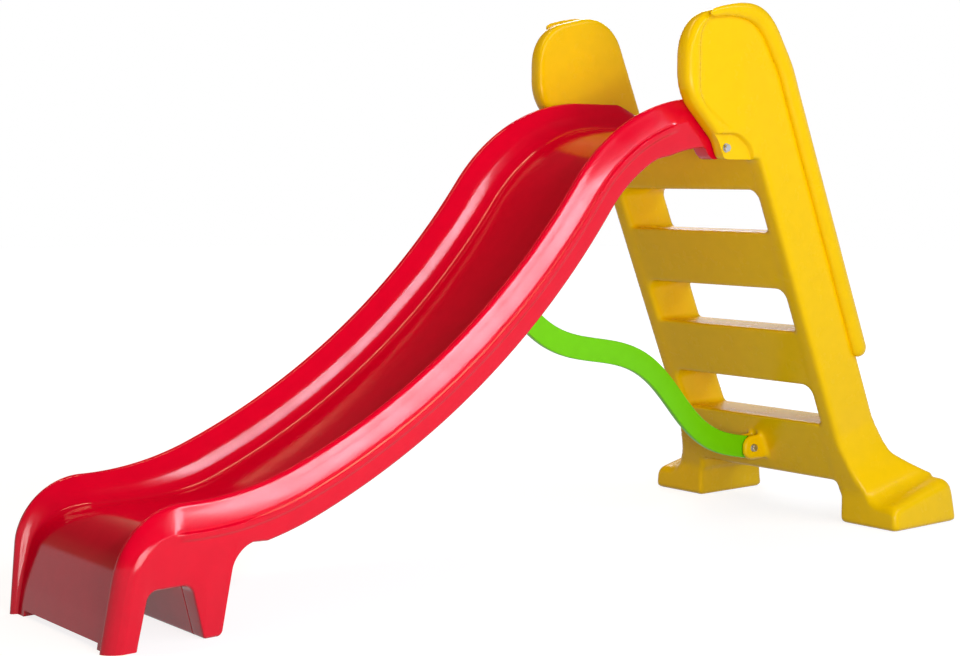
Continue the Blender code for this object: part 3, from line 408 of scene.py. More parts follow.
def bake(item):
    """Replaces the mesh by its evaluated self and drops the modifiers."""
    graph = bpy.context.evaluated_depsgraph_get()
    mesh = bpy.data.meshes.new_from_object(item.evaluated_get(graph))
    item.modifiers.clear()
    old = item.data
    item.data = mesh
    bpy.data.meshes.remove(old)
    mesh.name = item.name
    return item


def combine(item, operation, *tools):
    """Applies Booleans with the given tools, then removes them."""
    for tool in tools:
        add_modifier(item, "BOOLEAN", operation=operation, solver="EXACT", object=tool)
    bake(item)
    for tool in tools:
        bpy.data.objects.remove(tool, do_unlink=True)
    return item


def soft_blend(low, high, share):
    share = min(max(share, 0.0), 1.0)
    return low + (high - low) * share * share * (3 - 2 * share)


def rounded_outline(corners, step=math.radians(5.0)):
    """Points of a polygon whose corners (x, z, radius) are turned into arcs."""
    points = []
    count = len(corners)
    for index, (x, z, radius) in enumerate(corners):
        here = Vector((x, z))
        before = Vector(corners[index - 1][:2])
        after = Vector(corners[(index + 1) % count][:2])
        if radius <= 0:
            points.append((x, z))
            continue
        to_before = (before - here).normalized()
        to_after = (after - here).normalized()
        half = to_before.angle(to_after) / 2
        cut = min(radius / math.tan(half), (before - here).length * 0.49, (after - here).length * 0.49)
        bow = cut * math.tan(half)
        centre = here + (to_before + to_after).normalized() * (bow / math.sin(half))
        first = here + to_before * cut - centre
        last = here + to_after * cut - centre
        turn = first.angle_signed(last)
        steps = max(3, round(abs(turn) / step))
        start = math.atan2(first.y, first.x)
        for nth in range(steps + 1):
            place = start - turn * nth / steps
            points.append((centre.x + bow * math.cos(place), centre.y + bow * math.sin(place)))
    return points


def rounded_run(corners, steps=5):
    """Open run of (y, depth) points; each inner corner (y, depth, cut) becomes a soft bend."""
    points = [Vector(corners[0][:2])]
    for index in range(1, len(corners) - 1):
        here = Vector(corners[index][:2])
        before = Vector(corners[index - 1][:2])
        after = Vector(corners[index + 1][:2])
        cut = corners[index][2]
        start = here + (before - here).normalized() * min(cut, (before - here).length * 0.49)
        end = here + (after - here).normalized() * min(cut, (after - here).length * 0.49)
        for nth in range(steps + 1):
            share = nth / steps
            points.append(start.lerp(here, share).lerp(here.lerp(end, share), share))
    points.append(Vector(corners[-1][:2]))
    return points


def add_loft(name, rings):
    """Closed skin through rings of points, capped at both ends."""
    bm = bmesh.new()
    loops = [[bm.verts.new(point) for point in ring] for ring in rings]
    for first, last in zip(loops, loops[1:]):
        for index in range(len(first)):
            other = (index + 1) % len(first)
            bm.faces.new((first[index], first[other], last[other], last[index]))
    bm.faces.new(loops[0])
    bm.faces.new(list(reversed(loops[-1])))
    return add_object(name, bm)


def add_prism(name, outline, low, high, along_x=False):
    """Prism from a closed outline: XZ points carried across Y, or YZ points carried along X."""
    bm = bmesh.new()
    first, last = ([bm.verts.new((place, u, v) if along_x else (u, place, v)) for u, v in outline]
                   for place in (low, high))
    bm.faces.new(first)
    bm.faces.new(list(reversed(last)))
    for index in range(len(outline)):
        other = (index + 1) % len(outline)
        bm.faces.new((first[index], first[other], last[other], last[index]))
    return add_object(name, bm)


def add_pin(name, centre, y_from, y_to, radius, sides=48):
    outline = [(centre[0] + radius * math.cos(2 * math.pi * n / sides),
                centre[1] + radius * math.sin(2 * math.pi * n / sides)) for n in range(sides)]
    return add_prism(name, outline, y_from, y_to)


class RimPath:
    """Crown line of the rims, from the ground in front of the exit up to the tail."""

    def __init__(self, sizes):
        climb = sizes.platform_rim - sizes.exit_rim
        runout = sizes.runout_radius * (1 - math.cos(sizes.runout_angle))
        crest = sizes.crest_radius * (1 - math.cos(sizes.steepest_angle))
        sweep = climb - runout - crest - sizes.steep_run * math.sin(sizes.steepest_angle)
        sweep /= math.cos(sizes.runout_angle) - math.cos(sizes.steepest_angle)
        front = math.pi / 2 - sizes.front_draft
        front_run = (sizes.exit_rim - sizes.front_bend * (1 - math.cos(front))) / math.sin(front)
        steepest = sizes.steepest_angle
        self.pieces = [
            (front_run, front, front),
            (sizes.front_bend * front, front, 0.0),
            (sizes.exit_flat, 0.0, 0.0),
            (sizes.runout_radius * sizes.runout_angle, 0.0, sizes.runout_angle),
            (sweep * (steepest - sizes.runout_angle), sizes.runout_angle, steepest),
            (sizes.steep_run, steepest, steepest),
            (sizes.crest_radius * steepest, steepest, 0.0),
            (sizes.platform_run + sizes.tail_run, 0.0, 0.0),
        ]
        self.starts = []
        self.marks = [0.0]
        x, z = cad_box[0][0], 0.0
        for run, first, last in self.pieces:
            self.starts.append((x, z))
            x, z = self.advance(x, z, run, first, last, run)
            self.marks.append(self.marks[-1] + run)
        self.end = (x, z)

    @staticmethod
    def advance(x, z, run, first, last, travelled):
        if abs(last - first) < TINY:
            return x + math.cos(first) * travelled, z + math.sin(first) * travelled
        radius = run / (last - first)
        heading = first + travelled / radius
        return (x + radius * (math.sin(heading) - math.sin(first)),
                z - radius * (math.cos(heading) - math.cos(first)))

    def at(self, distance):
        """Position x, z and heading at a distance from the ground point."""
        distance = min(max(distance, 0.0), self.marks[-1])
        for index, (run, first, last) in enumerate(self.pieces):
            travelled = distance - self.marks[index]
            if travelled <= run + TINY:
                x, z = self.advance(*self.starts[index], run, first, last, travelled)
                return x, z, first + (last - first) * travelled / run
        return (*self.end, 0.0)

    def distance_at_x(self, x):
        low, high = 0.0, self.marks[-1]
        for _ in range(50):
            middle = (low + high) / 2
            low, high = (middle, high) if self.at(middle)[0] < x else (low, middle)
        return (low + high) / 2


def foot_edge(sizes, path):
    """Lower edge of the side from the front leg to the skirt, in XZ."""
    arch_end = sizes.front_leg + sizes.arch_span
    heel = arch_end + sizes.rear_leg
    join = heel + sizes.rear_leg_flare
    start_x = cad_box[0][0]
    skirt = sizes.skirt_depth
    _, z, heading = path.at(path.distance_at_x(start_x + join))
    far_x, far_z, far_heading = path.at(path.distance_at_x(start_x + join + skirt))
    corners = [
        (sizes.front_leg, 0.0, 0.0),
        (sizes.front_leg + sizes.rear_leg_flare / 2, sizes.arch_height, sizes.arch_round),
        (arch_end - sizes.rear_leg_flare, sizes.arch_height, sizes.arch_round),
        (arch_end, 0.0, 0.007),
        (heel, 0.0, 0.007),
        (join - sizes.rear_leg_flare / 3, z - skirt * math.cos(heading), sizes.arch_round * 2.6),
        (far_x - start_x, far_z - skirt * math.cos(far_heading), 0.0),
    ]
    points = rounded_outline(corners)[:-1]
    edge = [points[0]]
    for first, last in zip(points, points[1:]):
        pieces = max(1, round(math.dist(first, last) / 0.005))
        edge += [(first[0] + (last[0] - first[0]) * n / pieces, first[1] + (last[1] - first[1]) * n / pieces)
                 for n in range(1, pieces + 1)]
    return [(start_x + px, pz) for px, pz in edge]


def chute_stations(sizes, path):
    """Distance along the crown, and lower edge where the foot sets it, of each section."""
    lower = foot_edge(sizes, path)
    arch_middle = cad_box[0][0] + sizes.front_leg + sizes.arch_span / 2
    run_in = path.distance_at_x(arch_middle)
    runs = [0.0]
    for first, last in zip(lower, lower[1:]):
        runs.append(runs[-1] + math.dist(first, last))
    middle = next(run for run, point in zip(runs, lower) if point[0] > arch_middle)
    stations = []
    for point, run in zip(lower, runs):
        near = point[0] < arch_middle
        stations.append((run_in * run / middle if near else path.distance_at_x(point[0]), point))
    distance = stations[-1][0]
    count = math.ceil((path.marks[-1] - distance) / 0.009)
    stations += [(distance + (path.marks[-1] - distance) * n / count, None) for n in range(1, count + 1)]
    return stations


def bed_depth(sizes, path, distance):
    marks = path.marks
    if distance < marks[2]:
        return soft_blend(sizes.front_recess, sizes.exit_depth, distance / marks[2])
    if distance < marks[4]:
        return soft_blend(sizes.exit_depth, sizes.slope_depth, (distance - marks[3]) / (marks[4] - marks[3]))
    share = (distance - marks[6]) / (marks[7] - marks[6])
    return soft_blend(sizes.slope_depth, sizes.platform_depth, share)


def rim_profile(sizes, depth, scale, rib, ride):
    """Half of the upper surface from the bed's middle outwards, as (y, depth under the crown).

    ride runs from 0 at the front wall, whose posts are round, to 1 along the bed.
    """
    crown = sizes.crown_spacing
    out = sizes.half_width
    shoulder = sizes.shoulder_depth * scale
    height = sizes.rib_height * scale
    proud = out + sizes.rib_proud * rib
    groove = sizes.groove_depth * scale
    strip = out - crown
    corners = [
        (0.0, depth, 0),
        (sizes.bed_half_width, depth, sizes.bed_fillet),
        (crown - 0.0255, depth * 0.37, 0.010),
        (crown - 0.0070, depth * 0.02, 0.004),
        (crown - 0.0024, 0.0, 0.0012),
        (crown - 0.0007, groove, 0.0008),
        (crown + 0.0007, groove, 0.0008),
        (crown + 0.0024, 0.0, 0.0012),
        (crown + strip * 0.20, shoulder * 0.07, 0.003),
        (crown + strip * 0.37, shoulder * 0.28, 0.005),
        (crown + strip * 0.91, shoulder * 0.92, 0.0015),
        (out - 0.0022 * rib, shoulder, 0.0012),
        (proud, shoulder + height * 0.15, 0.0018),
        (proud, shoulder + height * 0.85, 0.0025),
        (out, shoulder + height * 1.20, 0.002),
        (out, shoulder + height * 1.50, 0),
    ]
    post = [(0.0, depth)]
    post += [(crown + ahead, depth * share + drop) for ahead, share, drop in POST_CROWN]
    post += [(out + ahead, drop) for ahead, drop in POST_SIDE]
    blended = []
    for (post_y, post_depth), (y, below, bend) in zip(post, corners):
        blended.append((post_y + (y - post_y) * ride, post_depth + (below - post_depth) * ride, bend))
    return rounded_run(blended)


def chute_section(sizes, path, distance, lower):
    """Closed loop of the chute's skin at one station."""
    x, z, heading = path.at(distance)
    marks = path.marks
    if distance <= 0.0:
        heading = math.pi / 2
    up_x, up_z = -math.sin(heading), math.cos(heading)
    tail = max(0.0, (x - path.end[0] + sizes.tail_run) / sizes.tail_run)
    drop = sizes.tail_drop * tail
    z -= drop
    depth = bed_depth(sizes, path, distance) - drop
    ride = soft_blend(0.0, 1.0, (distance - marks[1] * 0.85) / (marks[3] - marks[1] * 0.85))
    scale = 1 - tail * sizes.tail_drop / (sizes.platform_depth + sizes.bed_thickness)
    nose = cad_box[0][0] + sizes.rib_start
    rib_end = PIVOT[0] - RIB_END_AHEAD
    rib = soft_blend(0.0, 1.0, (x - nose) / RIB_NOSE) * soft_blend(1.0, 0.0, (x - rib_end) / RIB_TAPER)
    if lower is None:
        late = (marks[6] + 2 * marks[7]) / 3
        start = (marks[6] + marks[7]) / 2
        skirt = soft_blend(sizes.skirt_depth, sizes.platform_skirt, (distance - start) / (late - start))
        lower = (x - up_x * skirt, z - up_z * skirt)
        pivot_x, pivot_z = PIVOT
        reach = x - pivot_x
        if reach > -2 * CHUTE_EAR:
            tread = sizes.platform_rim - sizes.platform_depth - sizes.bed_thickness
            edge = tread
            if abs(reach) < CHUTE_EAR:
                edge = min(tread, pivot_z - math.sqrt(CHUTE_EAR ** 2 - reach ** 2))
            lower = (x, min(edge, z - skirt) if reach < 0 else edge)
    bed = depth + sizes.bed_thickness
    under = (x - up_x * bed, z - up_z * bed)
    leg_end = path.distance_at_x(cad_box[0][0] + sizes.front_leg + sizes.arch_span + sizes.rear_leg)
    if under[1] < lower[1] or distance < leg_end:
        under = lower
    half = [(y, x - up_x * d, z - up_z * d) for y, d in rim_profile(sizes, depth, scale, rib, ride)]
    # Rounded lower edge: from the wall's face round to the flat underside of the beam
    wall_x, wall_z = half[-1][1:]
    gap = math.dist((wall_x, wall_z), lower)
    rounding = min(sizes.edge_round, gap * 0.6)
    down_x, down_z = ((lower[0] - wall_x) / gap, (lower[1] - wall_z) / gap) if gap > TINY else (0.0, -1.0)
    inner = sizes.half_width - sizes.beam_width
    for start, sign in ((0, 1), (90, -1)):
        for step in range(0, 91, 18):
            turn = math.radians(start + sign * step)
            centre = sizes.half_width - rounding if sign > 0 else inner + rounding
            back = rounding * (1 - math.sin(turn))
            half.append((centre + sign * rounding * math.cos(turn), lower[0] - down_x * back,
                         lower[1] - down_z * back))
    half.append((inner, *under))
    half.append((0.0, *under))
    loop = half + [(-y, px, pz) for y, px, pz in reversed(half[1:-1])]
    bed_half, crown = sizes.bed_half_width, sizes.crown_spacing
    ring = []
    for y, px, pz in loop:
        share = min(1.0, max(0.0, (abs(y) - bed_half) / (crown - bed_half)))
        pull = sizes.leg_draft * max(0.0, 1 - pz / sizes.leg_draft_height) * share
        ring.append(Vector((px, math.copysign(abs(y) - pull, y) if abs(y) > pull else y, max(pz, 0.0))))
    return ring


def wall_end_tool(sizes, path, side):
    """Cutter that steps the outer wall in where it runs between the ladder's cheeks."""
    bends = [(PIVOT[0] + x, PIVOT[1] + z, 0.020) for x, z in WALL_END]
    outline = [(*bends[0][:2], 0.0), *bends[1:-1], (*bends[-1][:2], 0.0)]
    outline += [(path.end[0] + 0.02, outline[-1][1], 0.0), (path.end[0] + 0.02, outline[0][1], 0.0)]
    shape = rounded_outline(outline, math.radians(4.0))
    return add_prism(f"wall_end_{side}", shape, side * TONGUE_HALF, side * (sizes.half_width + 0.02))


def soft_plate(name, outline, y_from, y_to, radius, radii=None, steps=4):
    """Plate across Y whose edges are rounded; radii may give each point of the outline its own."""
    points = [Vector(point) for point in outline]
    count = len(points)
    area = sum(points[n - 1].x * points[n].y - points[n].x * points[n - 1].y for n in range(count))
    turn = 1 if area > 0 else -1
    insets = []
    for index, point in enumerate(points):
        before = (point - points[index - 1]).normalized()
        after = (points[(index + 1) % count] - point).normalized()
        first = Vector((-before.y, before.x)) * turn
        last = Vector((-after.y, after.x)) * turn
        insets.append((first + last) / (1 + first.dot(last)))
    radii = radii or [radius] * count
    side = 1 if y_to > y_from else -1
    rings = []
    for sign in (-1, 1):
        bends = [math.pi / 2 * n / steps for n in range(steps + 1)]
        for bend in bends if sign < 0 else reversed(bends):
            ring = []
            for point, inset, own in zip(points, insets, radii):
                size = own if sign > 0 else min(own, radius)
                place = point + inset * size * (1 - math.sin(bend))
                edge = y_to - side * size * (1 - math.cos(bend)) if sign > 0 else \
                    y_from + side * size * (1 - math.cos(bend))
                ring.append(Vector((place.x, edge, place.y)))
            rings.append(ring)
    return add_loft(name, rings)


def chute_ears(sizes):
    """Two ears under the bed that carry the strut's upper bolt."""
    strut = bpy.context.scene.slide_strut
    centre = Vector((strut.upper_x, strut.upper_z))
    along = Vector((math.cos(sizes.clevis_heading), math.sin(sizes.clevis_heading)))
    above = Vector((-along.y, along.x))
    height = sizes.clevis_below + sizes.bed_thickness / 2
    radius = sizes.clevis_radius
    corners = []
    for across, rise, bend in ((-radius, -radius, radius * EAR_BEND), (radius, -radius, radius * EAR_BEND),
                               (sizes.clevis_base / 2, height, 0.0), (-sizes.clevis_base / 2, height, 0.0)):
        point = centre + along * across + above * rise
        corners.append((point.x, point.y, bend))
    outline = rounded_outline(corners)
    return [soft_plate(f"chute_ear_{side}", outline, side * EAR_IN, side * EAR_OUT, 0.0025)
            for side in (-1, 1)]


def coat(item, sharp, material):
    """Smooth shading between edges sharper than so many degrees, and one material."""
    item.data.shade_smooth()
    item.data.set_sharp_from_angle(angle=math.radians(sharp))
    item.data.materials.clear()
    item.data.materials.append(finish(material))


class SLIDE_OT_add_chute(bpy.types.Operator):
    """Add the moulded chute with its arched foot"""

    bl_idname = "slide.add_chute"
    bl_label = "Chute"

    def execute(self, context):
        sizes = context.scene.slide_chute
        path = RimPath(sizes)
        rings = [chute_section(sizes, path, d, lower) for d, lower in chute_stations(sizes, path)]
        chute = add_loft("chute_moulding", rings)
        start = cad_box[0][0]
        relief = add_prism("relief", [(start - 0.02, -0.02), (start + sizes.front_leg + 0.01, -0.02),
                                      (start + sizes.front_leg + 0.01, sizes.relief_height),
                                      (start - 0.02, sizes.relief_height)],
                           -sizes.relief_half_width, sizes.relief_half_width)
        tools = [relief, wall_end_tool(sizes, path, -1), wall_end_tool(sizes, path, 1)]
        combine(chute, "DIFFERENCE", *tools)
        combine(chute, "UNION", *chute_ears(sizes))
        radius = context.scene.slide_fasteners.bore / 2
        strut = context.scene.slide_strut
        tools = [add_pin("bore", (strut.upper_x, strut.upper_z), -CUTTER_HALF, CUTTER_HALF, radius)]
        for side in (-1, 1):
            tools.append(add_pin("bore", PIVOT, side * 0.13, side * 0.22, radius))
        combine(chute, "DIFFERENCE", *tools)
        coat(chute, SHARP, "rotomoulded_polyethylene_red")
        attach(chute, "chute")
        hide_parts("chute")
        return {"FINISHED"}


def face_x(sizes, z):
    """Front plane of the ladder at height z."""
    return sizes.foot_line - z * math.tan(sizes.lean)


def rear_x(sizes, z):
    return face_x(sizes, z) + sizes.rail_depth


def heel_x(sizes, z):
    """Rear edge of rail and foot at height z."""
    low, high = sizes.foot_rear_height, sizes.heel_height
    if z >= high:
        return rear_x(sizes, z)
    foot_rear = sizes.foot_front + sizes.foot_length
    shoulder = foot_rear - sizes.heel_draft
    if z >= low:
        return shoulder + (rear_x(sizes, high) - shoulder) * (z - low) / (high - low)
    return foot_rear + (shoulder - foot_rear) * z / low


def panel_outline(sizes):
    """Side panel: foot, rail, pivot ear and round lobe, as corners with their radii."""
    underside = PIVOT[1] - sizes.ear_radius
    lobe_x = sizes.lobe_front
    return [
        (face_x(sizes, 0.060), 0.060, 0.0),
        (face_x(sizes, underside), underside, sizes.ear_corner),
        (PIVOT[0] - 0.004, underside, 0.012),
        (PIVOT[0] - 0.020, PIVOT[1] + 0.014, 0.030),
        (lobe_x, PIVOT[1] + sizes.lobe_shoulder_rise, sizes.lobe_shoulder_round),
        (lobe_x, sizes.lobe_top - 0.0291, sizes.lobe_front_round),
        (rear_x(sizes, sizes.lobe_top + 0.0142), sizes.lobe_top + 0.0142, sizes.lobe_rear_round),
        (rear_x(sizes, sizes.heel_height), sizes.heel_height, 0.050),
        (heel_x(sizes, 0.060), 0.060, 0.0),
    ]


def build_panel(sizes, side):
    """Side panel with softer edges round its lobe, and the hollow in the lobe's outer face."""
    outline = rounded_outline(panel_outline(sizes))
    radii = []
    for x, z in outline:
        lobe = soft_blend(0.0, 1.0, (z - PIVOT[1] - 0.02) / 0.06)
        rear = soft_blend(0.0, 1.0, (x - rear_x(sizes, z) + 0.03) / 0.03)
        radii.append(sizes.rail_round + (sizes.lobe_round - sizes.rail_round) * lobe * (1 - rear))
    outer = sizes.rail_in + sizes.rail_width
    panel = soft_plate(f"panel_{side}", outline, side * sizes.rail_in, side * outer, 0.008, radii, 6)
    lobe_x = sizes.lobe_front
    front, top = lobe_x + sizes.dish_front, sizes.lobe_top - sizes.dish_top
    slope = sizes.dish_depth / (sizes.dish_rear - front)
    shape = rounded_outline([(front, top, 0.078), (front, PIVOT[1] + 0.088, 0.060),
                             (PIVOT[0] - 0.002, PIVOT[1] + 0.034, 0.030),
                             (sizes.dish_rear, PIVOT[1] + 0.034, 0.0), (sizes.dish_rear, top, 0.0)])
    floor = [Vector((x, side * (outer - (sizes.dish_rear - x) * slope), z)) for x, z in shape]
    lid = [Vector((x, side * (outer + 0.02), z)) for x, z in shape]
    return combine(panel, "DIFFERENCE", add_loft("dish", [floor, lid]))


def pocket_tool(sizes, side):
    """Recess round the pivot bolt, open at its front and below."""
    high, low = PIVOT[1] + 0.026, PIVOT[1] - 0.022
    front, rear = PIVOT[0] - 0.060, PIVOT[0] + 0.062
    shape = rounded_outline([(front, high, 0.0), (PIVOT[0] + 0.026, high, 0.050),
                             (rear, PIVOT[1] + 0.002, 0.040), (rear + 0.014, low - 0.02, 0.0),
                             (front, low - 0.02, 0.0)])
    outer = sizes.rail_in + sizes.rail_width
    # The wall opens outwards like a moulded pocket, over a small bend at its floor
    rings = []
    middle = Vector((PIVOT[0], PIVOT[1] - 0.02))
    floor = [(sizes.pocket_depth - rise, reach) for rise, reach in POCKET_FLOOR]
    for depth, reach in floor + list(POCKET_LIP):
        ring = []
        for x, z in shape:
            away = Vector((x, z)) - middle
            place = Vector((x, z)) + away.normalized() * reach
            ring.append(Vector((place.x, side * (outer - depth), place.y)))
        rings.append(ring)
    return add_loft("pocket", rings)


def ladder_ears(sizes):
    """Two ears on the lowest rung's face that carry the strut's lower bolt."""
    strut = bpy.context.scene.slide_strut
    x, z, radius = strut.lower_x, strut.lower_z, sizes.clevis_radius
    outline = rounded_outline([
        (x - radius, z + radius, radius * EAR_BEND),
        (x - radius, z - radius, radius * EAR_BEND),
        (face_x(sizes, z - radius) + 0.010, z - radius, 0.0),
        (face_x(sizes, z + radius) + 0.010, z + radius, 0.0),
    ])
    return [soft_plate(f"ladder_ear_{side}", outline, side * EAR_IN, side * EAR_OUT, 0.005)
            for side in (-1, 1)]


def even_loop(outline, count):
    """The closed outline as evenly spaced points, starting at its first one."""
    points = [Vector(point) for point in outline]
    runs = [0.0]
    for first, last in zip(points, points[1:] + points[:1]):
        runs.append(runs[-1] + (last - first).length)
    loop, index = [], 0
    for nth in range(count):
        want = runs[-1] * nth / count
        while runs[index + 1] < want:
            index += 1
        first, last = points[index], points[(index + 1) % len(points)]
        loop.append(first.lerp(last, (want - runs[index]) / max(runs[index + 1] - runs[index], TINY)))
    return loop


def foot_section(sizes, share):
    """Foot outline at a share of the flare, from the rail's outer face to the foot's edge."""
    fade = (1 - share) ** 3
    front = sizes.foot_front_height + (sizes.flare_front - sizes.foot_front_height) * fade
    rear = sizes.foot_rear_height + (sizes.flare_rear - sizes.foot_rear_height) * fade
    toe = sizes.foot_front
    knee = (sizes.foot_line - toe) / math.tan(sizes.lean)
    low, high = sizes.foot_rear_height, sizes.heel_height
    corners = [(toe, 0.0, SOLE_BEND)]
    if front > knee + 0.004:
        corners.append((toe, knee, KNEE_BEND))
    corners += [(min(toe, face_x(sizes, front)), front, FOOT_BEND), (heel_x(sizes, rear), rear, FOOT_BEND)]
    if rear > high + 0.004:
        corners.append((heel_x(sizes, high), high, HEEL_BEND))
    if rear > low + 0.004:
        corners.append((heel_x(sizes, low), low, KNEE_BEND))
    corners.append((heel_x(sizes, 0.0), 0.0, SOLE_BEND))
    return even_loop(rounded_outline(corners), FOOT_POINTS)


def build_foot(sizes, side):
    """Foot that sweeps outwards from the rail to a wide flat sole with a rounded edge."""
    inner = sizes.rail_in + sizes.rail_width - sizes.rail_round
    outer = sizes.rail_in + sizes.rail_width + sizes.foot_flare
    top, upright = sizes.foot_top_round, sizes.foot_edge_round
    edge = outer - top
    places = [(sizes.rail_in + 0.0003, 0.0)]
    places += [(inner + (edge - inner) * n / 24, n / 24) for n in range(25)]
    places += [(outer - top * (1 - math.sin(math.radians(turn))), 1.0) for turn in range(8, 91, 6)]
    middle = sizes.foot_front + sizes.foot_length / 2
    rings = []
    for y, share in places:
        from_edge = outer - y
        drop = top - math.sqrt(max(0.0, top ** 2 - max(0.0, top - from_edge) ** 2))
        draw = upright - math.sqrt(max(0.0, upright ** 2 - max(0.0, upright - from_edge) ** 2))
        loop = foot_section(sizes, share)
        high = max(point.y for point in loop)
        ring = []
        for x, z in loop:
            lean = sizes.foot_lean * (1 - z / high) * share
            pull = draw * min(1.0, abs(x - middle) / (sizes.foot_length * 0.4))
            lift = draw * max(0.0, 1 - z / 0.012)
            ring.append(Vector((x - math.copysign(pull, x - middle), side * (y - (0.004 - lean) * share),
                                z * (high - drop) / high + lift)))
        rings.append(ring)
    foot = add_loft(f"foot_{side}", rings)
    half = sizes.rail_in + sizes.step_in
    step = rounded_outline([(-half, -0.02, 0.0), (half, -0.02, 0.0), (half, sizes.step_height, 0.014),
                            (-half, sizes.step_height, 0.014)])
    return combine(foot, "DIFFERENCE", add_prism("step", step, 0.5, 1.1, along_x=True))


def build_rungs(sizes):
    """Rung board with its three openings."""
    low, high = sizes.lowest_rung, sizes.top_tread
    half = sizes.rail_in + 0.012
    outline = [(face_x(sizes, low) + 0.001, low), (rear_x(sizes, low) - 0.001, low),
               (rear_x(sizes, high) - 0.001, high), (face_x(sizes, high) + 0.001, high)]
    board = add_prism("rungs", outline, -half, half)
    tools = []
    for tread, height in RUNG_GAPS:
        wide = sizes.rail_in - 0.0003
        shape = rounded_outline([(-wide, tread, 0.0), (wide, tread, 0.0),
                                 (wide, tread + height, sizes.opening_round),
                                 (-wide, tread + height, sizes.opening_round)])
        tools.append(add_prism("opening", shape, 0.2, 1.1, along_x=True))
    combine(board, "DIFFERENCE", *tools)
    add_modifier(board, "BEVEL", width=0.0045, segments=3, limit_method="ANGLE",
                 angle_limit=math.radians(50.0))
    return bake(board)


def grip_line(sizes):
    """Centre line of the grip, from the front of the lobe over the top and down the rear edge."""
    shift = (sizes.grip_overhang - sizes.grip_width / 2) / math.cos(sizes.lean)
    low = sizes.grip_end + sizes.grip_width / 2
    count = 12
    heights = [GRIP_JOIN + (low - GRIP_JOIN) * n / count for n in range(count + 1)]
    return list(GRIP_TOP) + [(rear_x(sizes, z) + shift, z) for z in heights]


def new_tree(name, distances, counts):
    """Geometry Nodes tree with named inputs for a path, sizes and a material, and their outputs."""
    tree = bpy.data.node_groups.new(name, "GeometryNodeTree")
    kinds = {"Path": "Geometry", **dict.fromkeys(distances, "Float"), **dict.fromkeys(counts, "Int"),
             "Material": "Material"}
    for label, kind in kinds.items():
        socket = tree.interface.new_socket(label, in_out="INPUT", socket_type=f"NodeSocket{kind}")
        if kind == "Float":
            socket.subtype = "DISTANCE"
    tree.interface.new_socket("Mesh", in_out="OUTPUT", socket_type="NodeSocketGeometry")
    return tree, add_node(tree, "NodeGroupInput").outputs


def end_tree(tree, geometry, material):
    """Ends a tree in Realize Instances and Set Material."""
    real = form(tree, "RealizeInstances", {"Geometry": geometry})
    finished = form(tree, "SetMaterial", {"Geometry": real, "Material": material})
    add_node(tree, "NodeGroupOutput", {"Mesh": finished})
    return tree


def round_ends(tree, reach, kept):
    """Size that shrinks along a quarter circle within reach of both ends, and keeps a trace there."""
    place = add_node(tree, "GeometryNodeSplineParameter").outputs["Length"]
    total = add_node(tree, "GeometryNodeSplineLength").outputs["Length"]
    near = maths(tree, "MINIMUM", place, maths(tree, "SUBTRACT", total, place))
    back = maths(tree, "SUBTRACT", 1.0, maths(tree, "DIVIDE", near, reach, use_clamp=True))
    square = maths(tree, "MULTIPLY", back, back)
    return place, maths(tree, "POWER", maths(tree, "SUBTRACT", 1.0 + kept, square), 0.5)


def sideways(tree, curve):
    """Curve whose normals all point along Y, so that its profile never twists."""
    item = add_node(tree, "GeometryNodeSetCurveNormal", {"Curve": curve}, mode="FREE")
    item.inputs["Normal"].default_value = (0.0, 1.0, 0.0)
    return item.outputs[0]


def sweep_tree(name):
    """Geometry Nodes tree that sweeps an oval along the object's own edge path."""
    tree, given = new_tree(name, ("Width", "Height", "End rounding", "Growth"), ("Sides",))
    line = form(tree, "MeshToCurve", {"Mesh": given["Path"]})
    line = form(tree, "CurveSplineType", {"Curve": line}, spline_type="CATMULL_ROM")
    path = form(tree, "ResampleCurve", {"Curve": line, "Length": SWEEP_STEP}, mode="LENGTH")
    place, nose = round_ends(tree, given["End rounding"], 0.0002)
    # From its start the grip grows to its full width
    grown = add_node(tree, "ShaderNodeMapRange", {"Value": place, "From Max": given["Growth"],
                                                  "To Min": GRIP_START}, interpolation_type="SMOOTHSTEP")
    ring = form(tree, "CurvePrimitiveCircle", {"Resolution": given["Sides"], "Radius": 0.5})
    scale = add_node(tree, "ShaderNodeCombineXYZ", {"X": given["Height"], "Y": given["Width"], "Z": 1.0})
    shaped = form(tree, "Transform", {"Geometry": ring, "Scale": scale.outputs[0]})
    tube = form(tree, "CurveToMesh", {"Curve": sideways(tree, path), "Profile Curve": shaped,
                                      "Fill Caps": True,
                                      "Scale": maths(tree, "MULTIPLY", nose, grown.outputs[0])})
    return end_tree(tree, tube, given["Material"])


def run_tree(item, tree, **values):
    """Sets a tree's named inputs by their identifiers and turns the result into plain mesh."""
    modifier = item.modifiers.new(tree.name, "NODES")
    modifier.node_group = tree
    for socket in tree.interface.items_tree:
        if socket.item_type == "SOCKET" and socket.in_out == "INPUT" and socket.name in values:
            modifier[socket.identifier] = values[socket.name]
    return bake(item)


def add_path(name, points):
    """Object that holds only an open line of edges."""
    mesh = bpy.data.meshes.new(name)
    mesh.from_pydata(points, [(n, n + 1) for n in range(len(points) - 1)], [])
    item = bpy.data.objects.new(name, mesh)
    bpy.context.scene.collection.objects.link(item)
    return item


def build_grips(sizes, material):
    """Round grips swept along the rear edge of both panels."""
    line = grip_line(sizes)
    tree = sweep_tree("grip_sweep")
    grips = []
    for side in (-1, 1):
        y = side * (sizes.rail_in + sizes.rail_width + sizes.grip_proud - sizes.grip_half_height)
        grip = add_path(f"grip_{side}", [(x, y, z) for x, z in line])
        run_tree(grip, tree, **{"Width": sizes.grip_width, "Height": 2 * sizes.grip_half_height,
                                "End rounding": sizes.grip_width / 2, "Growth": GRIP_GROWTH,
                                "Sides": GRIP_SIDES, "Material": material})
        grips.append(grip)
    return grips


